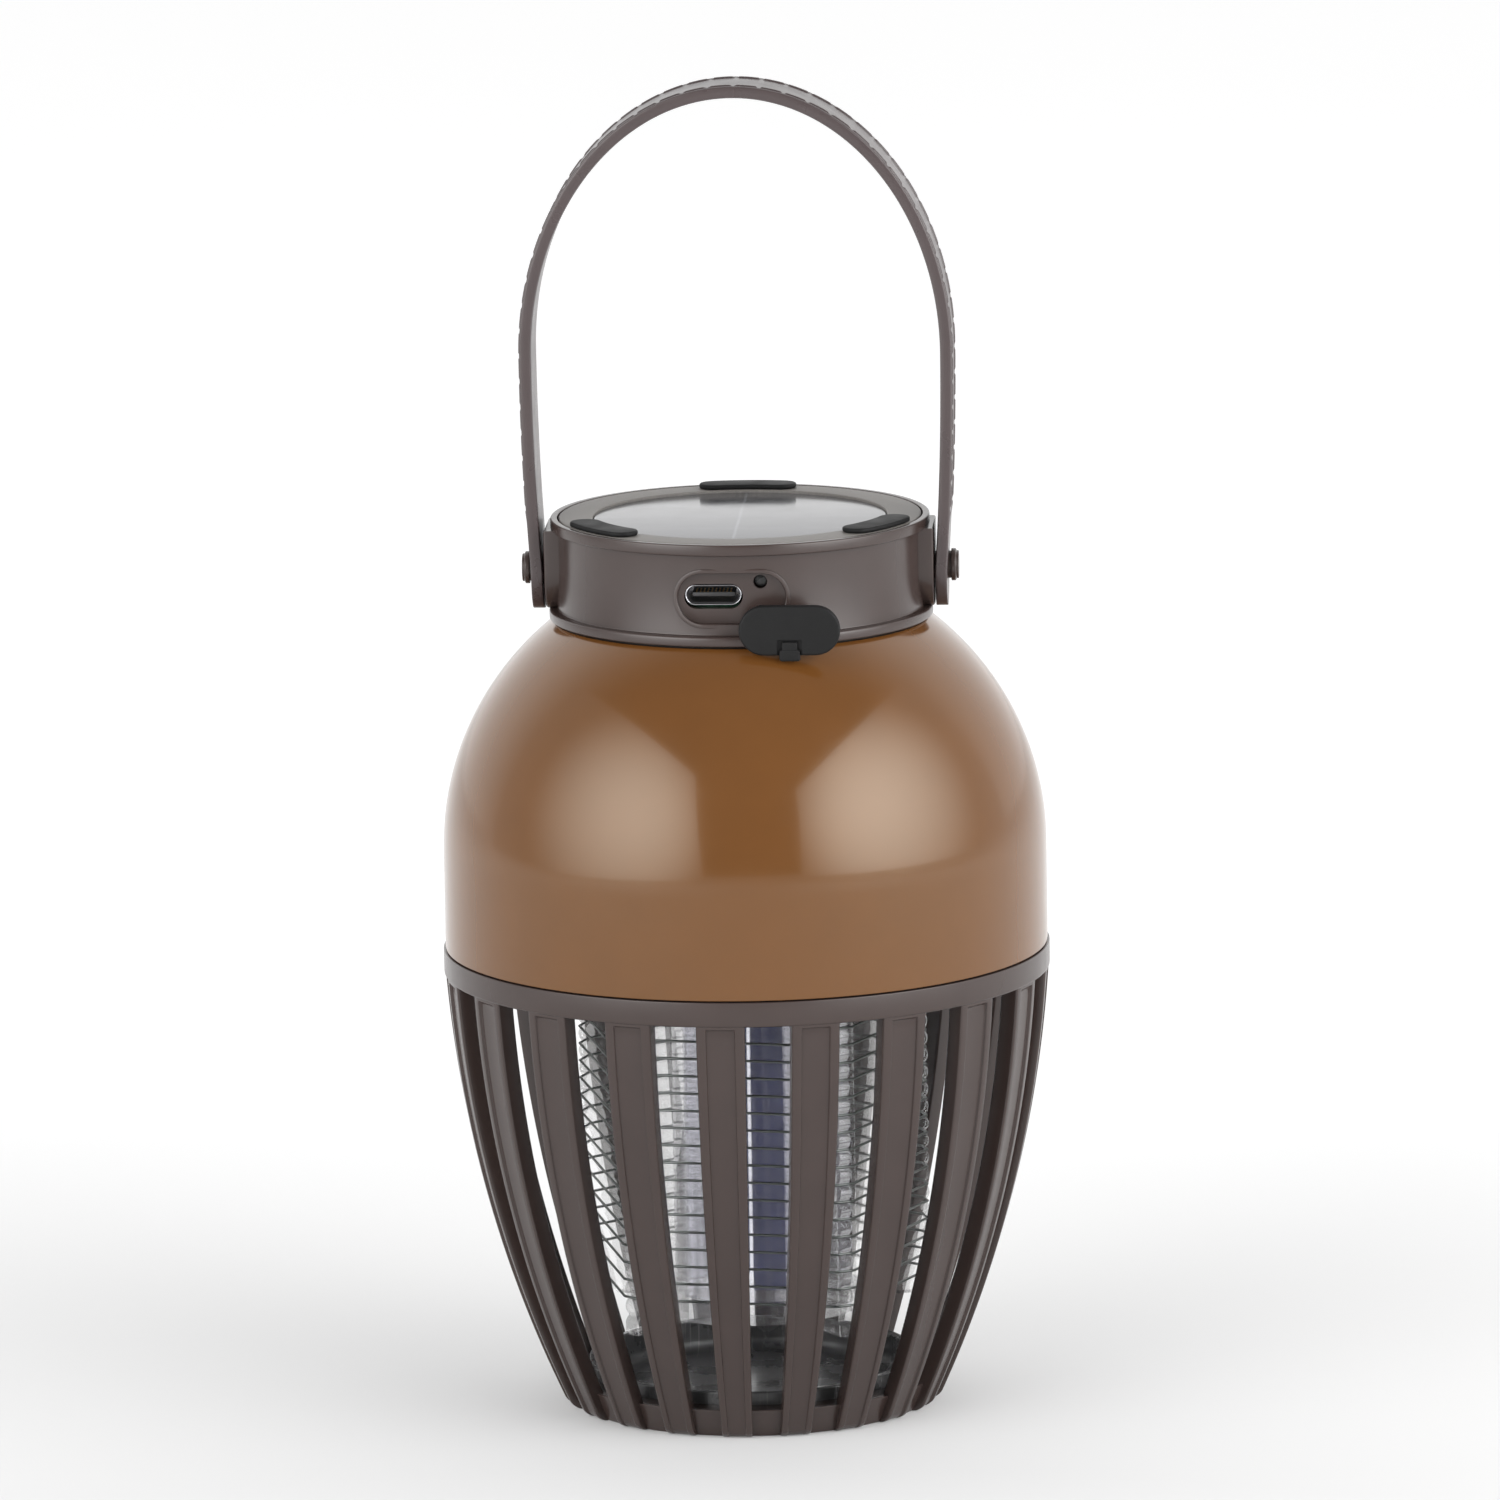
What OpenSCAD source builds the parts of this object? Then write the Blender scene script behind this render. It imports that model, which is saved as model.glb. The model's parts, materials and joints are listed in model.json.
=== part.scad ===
// Rechargeable lantern bug zapper with a bail handle, a glossy dome and a slatted grille.
// Millimetres, +Z up, standing on z = 0, with the charging port facing -Y.

/* [Body] */
// Largest radius of the dome
dome_r = 48.4; // [47:0.1:49]
// Height at which the dome starts to curve inwards
dome_belly_z = 91; // [89:0.5:92]
// Rise of the dome's ellipse above the belly
dome_rise = 47; // [46.5:0.1:48]
// Thickness of the dome's wall
dome_wall = 2; // [1.6:0.1:2.4]
// Height of the seam between the band and the dome
seam_z = 74.8; // [74.4:0.1:75.2]
// Radius of the band at the top of the grille
band_r = 48.7; // [48.6:0.1:49.4]

/* [Grille] */
// Number of slats
slat_count = 20; // [16:1:22]
// Width of each slat as an angle about the axis
slat_angle = 9.2; // [7:0.1:10]
// Depth of each slat towards the axis
slat_depth = 3; // [2.4:0.1:3.4]
// Radius of the arc that the slats follow
slat_arc_r = 200.6; // [196:0.2:210]
// Turn of the grille relative to the charging port
grille_turn = -2.2; // [-9:0.1:9]

/* [Collar] */
// Radius of the collar's wall
collar_r = 29.4; // [29:0.1:29.6]
// Height of the collar's underside
collar_z = 128.2; // [128:0.1:128.4]
// Height of the collar's top lip
lip_z = 144.4; // [144:0.1:145]

/* [Handle] */
// Height of the handle's pivots
pivot_z = 136; // [135.8:0.1:136.4]
// Height of the handle's outer face above the ground
handle_top_z = 214.1; // [205:0.1:220]
// Width of the strap
strap_w = 13; // [11:0.5:13]
// Thickness of the strap
strap_t = 2.1; // [1.8:0.1:2.2]

/* [Shock grid] */
// Number of ribs on the clear former
rib_count = 5; // [4:1:6]
// Outer radius of the ribs
rib_r = 29.5; // [28:0.1:30]
// Distance between neighbouring grid wires
wire_pitch = 2.83; // [2.6:0.01:3.2]
// Number of wires that cross each rib
wire_rows = 18; // [14:1:18]
// Diameter of a grid wire
wire_d = 0.42; // [0.3:0.01:0.6]

/* [Hidden] */
$fn = 96;

// Band and grille
band_h = 4;
band_low_z = seam_z - band_h;
spigot_r = 46.2;
slat_belly_z = 84.6;
slat_belly_r = 49;
slat_steps = 24;
rib_strip = 0.2;
channel_depth = 0.4;
base_h = 4.7;
base_step = 1.5;
base_bore_r = 26.75;
tray_flange_r = 27.6;
tray_flange_h = 1;
tray_r = 26.65;
tray_h = 6.7;
tray_wall = 1.4;

// Deck, bosses and dome neck
seam_gap = 0.2;
deck_z = 73;
deck_t = 2;
deck_r = 44.3;
boss_ring_r = 38;
boss_r = 3.5;
boss_angles = [60, 180, 300];
former_screw_angles = [58, 188, 298];
former_screw_ring_r = 22;
screw_r = 1.1;
head_r = 2.2;
head_h = 1.6;
neck_top_z = collar_z - 0.4;
neck_plate_t = 2;
cable_hole_r = 9;

// Shock grid
rib_w = 2.8;
rib_inner_r = 17;
rib_chamfer = 1.2;
foot_z = 15.2;
foot_disc_r = 18.7;
foot_disc_t = 2.4;
foot_disc_lift = 0.4;
former_flange_t = 2;
notch_depth = 0.8;
notch_w = 1.3;
wire_top_z = 68.3;
wire_r = rib_r - notch_depth + wire_d / 2 + 0.05;
wire_sides = 6;
wire_bend = rib_w / 2 + 0.35;
wire_slope = wire_pitch / (rib_count * rib_r * sin(180 / rib_count));
tube_r = 12.4;
tube_wall = 1.2;
terminal_r = 1.2;
terminal_ring_r = 25.5;
terminal_low_z = deck_z - 5.5;

// Lamp
led_board = [5.4, 1.2, 60];
led_board_y = -6.1;
led = [2.8, 0.8, 3.5];
led_count = 5;
led_pitch = 10.5;
led_low_z = 24;

// Collar
wall_t = 2;
collar_floor_t = 2;
collar_boss_ring_r = 20;
flange_r = 30.7;
flange_h = 1.6;
lip_r = 30.3;
lip_h = 1.8;
bezel_r = 29;
bezel_seat_z = lip_z - 2.2;
panel_r = 23.4;
panel_drop = 0.4;
panel_t = 2;
panel_seat_z = lip_z - panel_drop - panel_t;
lug_x = 31.1;

// Charging port
port_w = 17.2;
port_h = 8.3;
port_z = 135.7;
port_floor_y = -27.6;
port_back_y = -25.4;
usb_x = -2.9;
usb_z = port_z + 0.4;
usb_w = 8.94;
usb_h = 3.26;
led_x = 4.5;
led_z = port_z + 2.46;
root_x = 4.6;
root_z = port_z - 2.3;
cover_w = 16;
cover_h = 7.9;
cover_back_y = -31;
cover_t = 1.6;
plug_h = 0.5;

// Power button
button_z = 136;
button_r = 4;

// Boards
board_t = 1.6;
charge_board_z = usb_z - usb_h / 2 - board_t;
charge_board_r = 24.8;
main_board_z = 79;
main_board = [52, 24];
main_board_y = -9;
battery_r = 9.2;
battery_len = 65;
battery_y = 16;
battery_z = deck_z + deck_t + 1.2 + battery_r;

// Handle
strap_belly_z = 171;
strap_belly_x = 34.6;
leg_arc_r = 510;
pin_r = 2.2;
pin_head_r = 2.6;
pin_head_t = 1.2;

brown = "#8a6848";
taupe = "#645a58";

// A point at a distance r from the axis, at an angle a from -Y towards +X.
function polar(r, a, z = 0) = [r * sin(a), -r * cos(a), z];

// Outer radius of the dome at height z.
function dome_at(z, shrink = 0) =
  (dome_r - shrink) * sqrt(1 - pow(max(z - dome_belly_z, 0) / (dome_rise - shrink), 2));

// Outer radius of the slats at height z.
function slat_at(z) =
  slat_belly_r - slat_arc_r + sqrt(pow(slat_arc_r, 2) - pow(slat_belly_z - z, 2));

// Round-ended bar of size w by h, centred, in the XY plane.
module stadium(w, h) {
  square([w - h, h], center = true);
  for (s = [-1, 1]) translate([s * (w - h) / 2, 0]) circle(d = h);
}

// Extrudes a shape drawn in X and Z along Y, from y0 to y1.
module along_y(y0, y1) {
  translate([0, y1, 0]) rotate([90, 0, 0]) linear_extrude(y1 - y0) children();
}

// Copies the children to an angle measured from -Y.
module at_angle(a) {
  rotate([0, 0, a]) children();
}

module ring(r_out, r_in, z0, h) {
  translate([0, 0, z0]) difference() {
    cylinder(r = r_out, h = h);
    translate([0, 0, -1]) cylinder(r = r_in, h = h + 2);
  }
}

// Screw with a round head, its shank pointing up from the head's top face.
module screw_up(shank) {
  cylinder(r = head_r, h = head_h);
  translate([0, 0, head_h]) cylinder(r = screw_r, h = shank);
}

// Solid of the dome's outer shape, or of its hollow when shrunk.
module dome_solid(shrink, z_low, z_high) {
  steps = 40;
  rise_z = dome_belly_z;
  curve = [for (i = [0:steps]) let (z = rise_z + (z_high - rise_z) * sin(90 * i / steps))
    [dome_at(z, shrink), z]];
  rotate_extrude() polygon(concat([[0, z_low], [dome_r - shrink, z_low]], curve, [[0, z_high]]));
}

module dome_shell() {
  low = seam_z + seam_gap;
  hollow_top = neck_top_z - neck_plate_t;
  color(brown) difference() {
    dome_solid(0, low, neck_top_z);
    difference() {
      dome_solid(dome_wall, low - 1, hollow_top);
      for (a = boss_angles) at_angle(a)
        translate([0, -boss_ring_r, deck_z + deck_t + 0.1]) cylinder(r = boss_r, h = 60);
    }
    translate([0, 0, hollow_top - 1]) cylinder(r = cable_hole_r, h = 10);
    for (a = boss_angles) at_angle(a) {
      translate([0, -boss_ring_r, low - 2]) cylinder(r = screw_r, h = 12);
      translate([0, -collar_boss_ring_r, hollow_top - 1]) cylinder(r = screw_r + 0.2, h = 10);
    }
  }
}

module dome_gasket() {
  color("black") ring(47.6, spigot_r + 0.1, seam_z, seam_gap);
}

// Band that closes the top of the grille, with a spigot inside the dome and three screw tabs.
module grille_band() {
  tab_z = deck_z - deck_t;
  color(taupe) difference() {
    union() {
      ring(band_r, spigot_r - 1.6, band_low_z, band_h);
      ring(spigot_r, spigot_r - 1.6, band_low_z, band_h + 3.6);
      for (a = boss_angles) at_angle(a)
        translate([-5, -spigot_r + 1, tab_z]) cube([10, spigot_r - boss_ring_r + 4, deck_t]);
    }
    for (a = boss_angles) at_angle(a)
      translate([0, -boss_ring_r, tab_z - 1]) cylinder(r = screw_r + 0.2, h = deck_t + 2);
  }
}

// Profile between two depths behind the slats' outer arc.
module slat_profile(d0, d1, z0, z1) {
  levels = [for (i = [0:slat_steps]) z0 + (z1 - z0) * i / slat_steps];
  outer = [for (z = levels) [slat_at(z) - d0, z]];
  inner = [for (i = [slat_steps:-1:0]) [slat_at(levels[i]) - d1, levels[i]]];
  polygon(concat(outer, inner));
}

module sector(angle) {
  rotate([0, 0, -90 - angle / 2]) rotate_extrude(angle = angle) children();
}

// One slat: a curved bar with a shallow channel down its outer face.
module slat() {
  corner = 1.2;
  difference() {
    sector(slat_angle) difference() {
      slat_profile(0, slat_depth, 0, band_low_z);
      translate([slat_at(0), 0]) rotate(45) square(corner * 1.6, center = true);
      square([tray_flange_r + 0.1, tray_flange_h + 0.1]);
    }
    sector(slat_angle * (1 - 2 * rib_strip)) slat_profile(-1, channel_depth, -1, band_low_z - 0.4);
  }
}

module grille_slats() {
  color(taupe) for (i = [0:slat_count - 1])
    at_angle(grille_turn + 360 * i / slat_count) slat();
}

// Lower ring, standing behind the slats' faces and notched round their backs.
module base_ring() {
  outer = [for (z = [0:base_h / 4:base_h]) [slat_at(z) - base_step, z]];
  color(taupe) difference() {
    rotate_extrude() polygon(concat([[base_bore_r, 0]], outer, [[base_bore_r, base_h]]));
    translate([0, 0, -1]) cylinder(r = tray_flange_r + 0.1, h = tray_flange_h + 1.1);
    for (i = [0:slat_count - 1]) at_angle(grille_turn + 360 * i / slat_count)
      sector(slat_angle) slat_profile(-1, slat_depth, -1, base_h + 2);
  }
}

module insect_tray() {
  color("#2a2a2c") difference() {
    union() {
      cylinder(r = tray_flange_r, h = tray_flange_h);
      cylinder(r = tray_r, h = tray_h);
    }
    translate([0, 0, tray_wall]) cylinder(r = tray_r - tray_wall, h = tray_h);
    for (s = [-1, 1]) translate([s * tray_flange_r, 0, -1])
      cube([2 * 0.9, 12, 2 * tray_flange_h + 1.6], center = true);
  }
}

// Bulkhead between the electronics and the grid, with standoffs for the main board.
module deck_plate() {
  hole_h = deck_t + 12;
  color("#3b3634") difference() {
    union() {
      translate([0, 0, deck_z]) cylinder(r = deck_r, h = deck_t);
      for (x = [-1, 1], y = [-1, 1]) translate(board_hole(x, y, deck_z + deck_t))
        cylinder(r = 2.4, h = main_board_z - deck_z - deck_t);
    }
    for (a = boss_angles) at_angle(a)
      translate([0, -boss_ring_r, deck_z - 1]) cylinder(r = screw_r + 0.2, h = hole_h);
    for (a = former_screw_angles) translate(former_screw_at(a, deck_z - 1))
      cylinder(r = screw_r + 0.1, h = hole_h);
    for (x = [-1, 1], y = [-1, 1]) translate(board_hole(x, y, deck_z + deck_t - 0.5))
      cylinder(r = screw_r, h = hole_h);
    for (s = [0, 1]) translate(terminal_at(s, deck_z - 1)) cylinder(r = terminal_r + 0.1, h = hole_h);
    for (s = [0, 180]) rotate([0, 0, s]) translate([0.4, -6.3, deck_z - 1]) cube([5.8, 1.6, hole_h]);
  }
}

function board_hole(x, y, z) = [x * (main_board.x / 2 - 3), main_board_y + y * (main_board.y / 2 - 3), z];

function former_screw_at(a, z) = polar(former_screw_ring_r, a, z);

// Three screws through the grille's tabs and the deck into the dome's bosses.
module case_screws() {
  color("silver") for (a = boss_angles) at_angle(a)
    translate([0, -boss_ring_r, deck_z - deck_t - head_h]) screw_up(2 * deck_t + 7);
}

// Height of the wire rows on rib number i.
function row_z(i, n) = wire_top_z - wire_pitch * (2 * i / rib_count + n);

// Outline of one rib in radius and height, with a notch for each wire row.
module rib_outline(i) {
  rows = [for (n = [wire_rows - 1:-1:0]) if (row_z(i, n) > foot_z + rib_chamfer + notch_w) row_z(i, n)];
  notches = [for (z = rows) each [
    [rib_r, z - notch_w / 2],
    [rib_r - notch_depth, z - notch_w / 4],
    [rib_r - notch_depth, z + notch_w / 4],
    [rib_r, z + notch_w / 2]
  ]];
  rib_top_z = deck_z - former_flange_t / 2;
  polygon(concat(
    [[rib_inner_r, foot_z], [rib_r - rib_chamfer, foot_z], [rib_r, foot_z + rib_chamfer]], notches,
    [[rib_r, rib_top_z], [rib_inner_r, rib_top_z]]));
}

function rib_angle(i) = grille_turn + 360 * (i + 0.5) / rib_count;

// Clear moulding: radial ribs, a foot disc and a top flange under the deck.
module grid_former() {
  flange_z = deck_z - former_flange_t;
  color("#dfe3ee") difference() {
    union() {
      for (i = [0:rib_count - 1]) at_angle(rib_angle(i)) rotate([0, 0, -90]) along_y(-rib_w / 2, rib_w / 2)
        rib_outline(i);
      translate([0, 0, foot_z + foot_disc_lift]) cylinder(r = foot_disc_r, h = foot_disc_t - foot_disc_lift);
      ring(rib_r + 1, tube_r + 0.1, flange_z, former_flange_t);
    }
    for (a = former_screw_angles) translate(former_screw_at(a, flange_z - 1))
      cylinder(r = screw_r, h = former_flange_t + 2);
    for (s = [0, 1]) translate(terminal_at(s, flange_z - 1))
      cylinder(r = terminal_r, h = former_flange_t + 2);
  }
}

// Three screws down through the deck into the former's flange.
module former_screws() {
  color("silver") for (a = former_screw_angles) translate(former_screw_at(a, deck_z + deck_t + head_h))
    mirror([0, 0, 1]) screw_up(deck_t + former_flange_t);
}

// Path of wire number s, from its terminal down round the ribs.
function wire_path(s) = concat(
  [terminal_at(s, terminal_low_z + 0.5) + polar(terminal_r + wire_d / 2, terminal_angle(s))],
  [for (k = [0:floor(rib_count * (wire_rows - 1) / 2)], side = [-1, 1])
    let (a = rib_angle(k), z = wire_top_z - wire_pitch * (s + 2 * k / rib_count))
      polar(wire_r, a, z) + side * wire_bend * [cos(a), sin(a), -wire_slope]]
);

function unit(v) = v / norm(v);

// Ring of points round one point of a swept path, turned by a seed direction that the path never takes.
function ring_points(path, j, r, sides, seed) =
  let (last = len(path) - 1,
       along = unit(path[min(j + 1, last)] - path[max(j - 1, 0)]),
       side = unit(cross(along, seed)),
       up = cross(side, along))
    [for (t = [0:sides - 1]) path[j] + r * (cos(360 * t / sides) * side + sin(360 * t / sides) * up)];

// Tube of radius r along a path.
module sweep(path, r, sides = 8, seed = [0, 0, 1]) {
  n = len(path);
  points = [for (j = [0:n - 1]) each ring_points(path, j, r, sides, seed)];
  walls = [for (j = [0:n - 2], t = [0:sides - 1]) let (u = (t + 1) % sides) each [
    [j * sides + t, (j + 1) * sides + t, (j + 1) * sides + u],
    [j * sides + t, (j + 1) * sides + u, j * sides + u]
  ]];
  start_cap = [[for (t = [0:sides - 1]) t]];
  end_cap = [[for (t = [sides - 1:-1:0]) (n - 1) * sides + t]];
  polyhedron(points, concat(walls, start_cap, end_cap));
}

module grid_wire_positive() {
  color("#4c5050") sweep(wire_path(0), wire_d / 2, wire_sides);
}

module grid_wire_negative() {
  color("#4c5050") sweep(wire_path(1), wire_d / 2, wire_sides);
}

// Direction and place of the brass post that feeds wire number s.
function terminal_angle(s) = rib_angle(0) - 9 - 11 * s;
function terminal_at(s, z) = polar(terminal_ring_r, terminal_angle(s), z);

// Brass posts that carry the high voltage through the deck to the two wires.
module grid_terminals() {
  color("goldenrod") for (s = [0, 1]) translate(terminal_at(s, terminal_low_z))
    cylinder(r = terminal_r, h = deck_t + 7);
}

module light_tube() {
  z0 = foot_z + foot_disc_t;
  color("#b9b7dc") ring(tube_r, tube_r - tube_wall, z0, deck_z - z0);
}

// Two narrow boards inside the tube, facing front and back.
module uv_led_boards() {
  color("#1f2740") for (s = [0, 180]) rotate([0, 0, s])
    translate([0.6, led_board_y, foot_z + foot_disc_t + 1]) cube(led_board);
}

module uv_leds() {
  color("#e8e6f4") for (s = [0, 180], i = [0:led_count - 1]) rotate([0, 0, s])
    translate([1.9, led_board_y + led_board.y, led_low_z + i * led_pitch]) cube(led);
}

module battery_cell() {
  cap_r = 3;
  color("#3d6fa5") translate([-battery_len / 2, battery_y, battery_z]) rotate([0, 90, 0]) {
    cylinder(r = battery_r - 0.1, h = battery_len - 1);
    cylinder(r = cap_r, h = battery_len + 0.6);
  }
}

// Cradle that holds the cell: a base, two saddles and two end walls.
module battery_cradle() {
  base_z = deck_z + deck_t;
  color("#232323") difference() {
    union() {
      translate([-35.6, battery_y - 8, base_z]) cube([71.2, 16, 1.1]);
      for (x = [-22, 18]) translate([x, battery_y - 8, base_z]) cube([4, 16, 8]);
      for (x = [-35.6, 34]) translate([x, battery_y - 6, base_z]) cube([1.6, 12, 14]);
    }
    translate([-33.8, battery_y, battery_z]) rotate([0, 90, 0]) cylinder(r = battery_r, h = 67.6);
    translate(former_screw_at(former_screw_angles[1], base_z - 1)) cylinder(r = head_r + 0.3, h = 3);
  }
}

module main_pcb() {
  color("#1d5c3a") difference() {
    translate([-main_board.x / 2, main_board_y - main_board.y / 2, main_board_z])
      cube([main_board.x, main_board.y, board_t]);
    for (x = [-1, 1], y = [-1, 1]) translate(board_hole(x, y, main_board_z - 1))
      cylinder(r = screw_r + 0.2, h = 4);
  }
}

module pcb_screws() {
  color("silver") for (x = [-1, 1], y = [-1, 1])
    translate(board_hole(x, y, main_board_z + board_t + head_h)) mirror([0, 0, 1]) screw_up(4.5);
}

// E-shaped ferrite core that stands on the main board.
module hv_transformer_core() {
  top = main_board_z + board_t;
  color("#3a3a3c") difference() {
    translate([-16, -15, top]) cube([14, 12, 12]);
    translate([-14, -16, top + 2]) cube([3.4, 14, 8]);
    translate([-7.4, -16, top + 2]) cube([3.4, 14, 8]);
  }
}

module hv_transformer_coil() {
  top = main_board_z + board_t;
  color("#c9a227") difference() {
    translate([-13.8, -17, top + 2.2]) cube([9.6, 16, 7.6]);
    translate([-10.7, -18, top + 1]) cube([3.4, 18, 10]);
    translate([-15, -15.1, top + 1]) cube([1.4, 12.2, 10]);
  }
}

module hv_capacitors() {
  color("#a34a2a") for (i = [0:2]) translate([2 + i * 5.6, -18, main_board_z + board_t])
    cube([4.4, 10, 8]);
}

module hv_diodes() {
  color("#202020") for (i = [0:2]) translate([1.6 + i * 6, -4.5, main_board_z + board_t + 1.4])
    rotate([0, 90, 0]) cylinder(r = 1.3, h = 5);
}

module filter_capacitor() {
  color("#26304a") translate([22, -10.5, main_board_z + board_t]) difference() {
    cylinder(r = 3.2, h = 10);
    translate([0, 0, 1.4]) rotate_extrude() translate([3.4, 0]) circle(r = 0.5, $fn = 24);
  }
}

module control_chip() {
  color("#18181a") translate([-22, -13, main_board_z + board_t]) cube([4, 5, 1.5]);
}

// Insulated leads from the main board's front edge to the two terminals.
module hv_leads() {
  z_pad = main_board_z + board_t + 0.9;
  color("#b02a24") for (s = [0, 1]) let (end = terminal_at(s, terminal_low_z + deck_t + 7.05))
    sweep([
      [end.x + 1, -19.2, z_pad],
      [end.x + 0.6, -20.6, z_pad + 0.3],
      [end.x + 0.2, -21.8, z_pad + 0.1],
      [end.x, end.y + 0.2, z_pad - 0.8],
      [end.x, end.y, z_pad - 2],
      end
    ], 0.5, seed = [1, 0, 0]);
}

// Two leads from the cell's ends to the main board.
module battery_leads() {
  z_pad = main_board_z + board_t + 0.7;
  color("#202020") for (s = [-1, 1])
    sweep([
      [s * 36.3, battery_y, battery_z - 4],
      [s * 36.3, battery_y - 8, battery_z - 5],
      [s * 33, battery_y - 15, z_pad + 1],
      [s * 28, battery_y - 20, z_pad + 0.6],
      [s * 25, battery_y - 22, z_pad],
      [s * 22, battery_y - 22, z_pad]
    ], 0.6);
}

// Two leads from the charge board down through the neck to the main board.
module charge_leads() {
  color("#b02a24") for (s = [-1, 1])
    sweep([
      [s * 1.5, 0, charge_board_z - 0.1],
      [s * 1.5, 0, charge_board_z - 12],
      [s * 1.5 - 4, 0, 108],
      [s * 1.5 - 16, -1, 94],
      [s * 1.5 - 18, -2, 86],
      [s * 1.5 - 18, -2, main_board_z + board_t + 0.1]
    ], 0.6, seed = [0, 1, 0]);
}

// Collar: floor, wall, bottom flange, top lip, side lugs and the port's pocket.
module collar_housing() {
  inner_r = collar_r - wall_t;
  floor_top = collar_z + collar_floor_t;
  color(taupe) difference() {
    union() {
      translate([0, 0, collar_z]) cylinder(r = flange_r, h = flange_h);
      translate([0, 0, collar_z]) cylinder(r = collar_r, h = lip_z - collar_z);
      translate([0, 0, lip_z - lip_h]) cylinder(r = lip_r, h = lip_h);
      for (s = [-1, 1]) lug(s);
      port_rim();
    }
    difference() {
      translate([0, 0, floor_top]) cylinder(r = inner_r, h = 40);
      translate([-11, port_floor_y, floor_top - 1]) cube([22, port_back_y - port_floor_y, 11]);
      for (a = boss_angles) at_angle(a) translate([0, -collar_boss_ring_r, floor_top - 1])
        cylinder(r = 3, h = charge_board_z - floor_top + 1);
    }
    translate([0, 0, bezel_seat_z]) cylinder(r = bezel_r + 0.2, h = 10);
    translate([0, 0, collar_z - 1]) cylinder(r = cable_hole_r, h = 10);
    for (a = boss_angles) at_angle(a)
      translate([0, -collar_boss_ring_r, collar_z - 1])
        cylinder(r = screw_r, h = charge_board_z - collar_z + 2);
    translate([0, 0, port_z]) along_y(-40, port_floor_y) stadium(port_w, port_h);
    translate([usb_x, 0, usb_z - 0.25]) along_y(-40, -20) stadium(usb_w + 0.3, usb_h + 0.7);
    translate([led_x, 0, led_z]) along_y(-40, -20) circle(r = 1.1);
    translate([root_x, 0, root_z]) along_y(-40, -20) circle(r = 1.05);
    translate([0, 0, button_z]) along_y(20, 40) circle(r = button_r + 0.08);
    for (s = [-1, 1]) translate([s * 35, 0, pivot_z]) rotate([0, -s * 90, 0]) cylinder(r = pin_r, h = 10);
  }
}

// Flat lug that one end of the handle bears on.
module lug(s) {
  depth = 5;
  x0 = s > 0 ? lug_x - depth : -lug_x;
  translate([x0, 0, pivot_z]) rotate([0, 90, 0]) cylinder(d = strap_w, h = depth);
  translate([x0, -strap_w / 2, pivot_z]) cube([depth, strap_w, lip_z - lip_h - pivot_z]);
}

// Thin raised bead round the port's pocket.
module port_rim() {
  bead = 0.6;
  intersection() {
    translate([0, 0, port_z]) along_y(-40, -24) difference() {
      stadium(port_w + 2 * bead, port_h + 2 * bead);
      stadium(port_w - 1, port_h - 1);
    }
    translate([0, 0, collar_z]) cylinder(r = collar_r + 0.25, h = lip_z - collar_z);
  }
}

module collar_gasket() {
  color("black") ring(29.4, 23.5, neck_top_z, collar_z - neck_top_z);
}

// Three screws up through the dome's neck into the collar's bosses.
module collar_screws() {
  z0 = neck_top_z - neck_plate_t - head_h;
  color("silver") for (a = boss_angles) at_angle(a) translate([0, -collar_boss_ring_r, z0]) screw_up(6.4);
}

module charge_board() {
  color("#1d5c3a") translate([0, 0, charge_board_z]) difference() {
    cylinder(r = charge_board_r, h = board_t);
    translate([root_x - 2.2, -30, -1]) cube([4.4, 7, 4]);
    translate([0, 6, -1]) cylinder(r = 5, h = 4);
  }
}

// USB-C receptacle: a drawn shell with a tongue inside.
module usb_socket() {
  shell = 0.3;
  back_y = port_floor_y + 7.2;
  color("silver") translate([usb_x, 0, usb_z]) {
    along_y(port_floor_y - 0.1, back_y) difference() {
      stadium(usb_w, usb_h);
      stadium(usb_w - 2 * shell, usb_h - 2 * shell);
    }
    along_y(back_y - 0.8, back_y) stadium(usb_w - shell, usb_h - shell);
    along_y(port_floor_y + 0.6, back_y - 0.5) square([6.7, 0.7], center = true);
  }
}

module charge_light_pipe() {
  color("#d8d8d0") translate([led_x, 0, led_z]) along_y(port_floor_y + 1.4, -21.5) circle(r = 1.05);
}

module power_button() {
  color(taupe) translate([0, 0, button_z]) {
    along_y(26.3, 30.5) circle(r = button_r);
    along_y(25.8, 26.5) circle(r = button_r + 0.5);
  }
}

module power_switch() {
  board_top = charge_board_z + board_t;
  color("#202022") translate([-3, 20.6, board_top]) cube([6, 3.4, 2 * (button_z - board_top)]);
  color("#202022") translate([0, 0, button_z]) along_y(23.9, 25)
    circle(r = min(1.7, button_z - board_top - 0.1));
}

// Rubber port cover on a stalk, drawn closed and turned half a turn about the stalk.
module port_cover() {
  color("#2e3031") translate([root_x, 0, root_z]) rotate([0, 180, 0]) translate([-root_x, 0, -root_z]) {
    translate([0, 0, port_z]) along_y(cover_back_y - cover_t, cover_back_y) stadium(cover_w, cover_h);
    translate([usb_x, 0, usb_z]) along_y(cover_back_y - 0.5, cover_back_y + plug_h) stadium(8.1, 2.3);
    translate([0, 0, port_z + cover_h / 2]) along_y(cover_back_y - cover_t, cover_back_y - 0.6)
      square([3.3, 1.9], center = true);
    translate([root_x, 0, root_z]) {
      along_y(cover_back_y - 0.5, port_back_y + 0.2) circle(r = 1);
      along_y(port_back_y + 0.1, port_back_y + 1) circle(r = 1.6);
    }
  }
}

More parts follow.
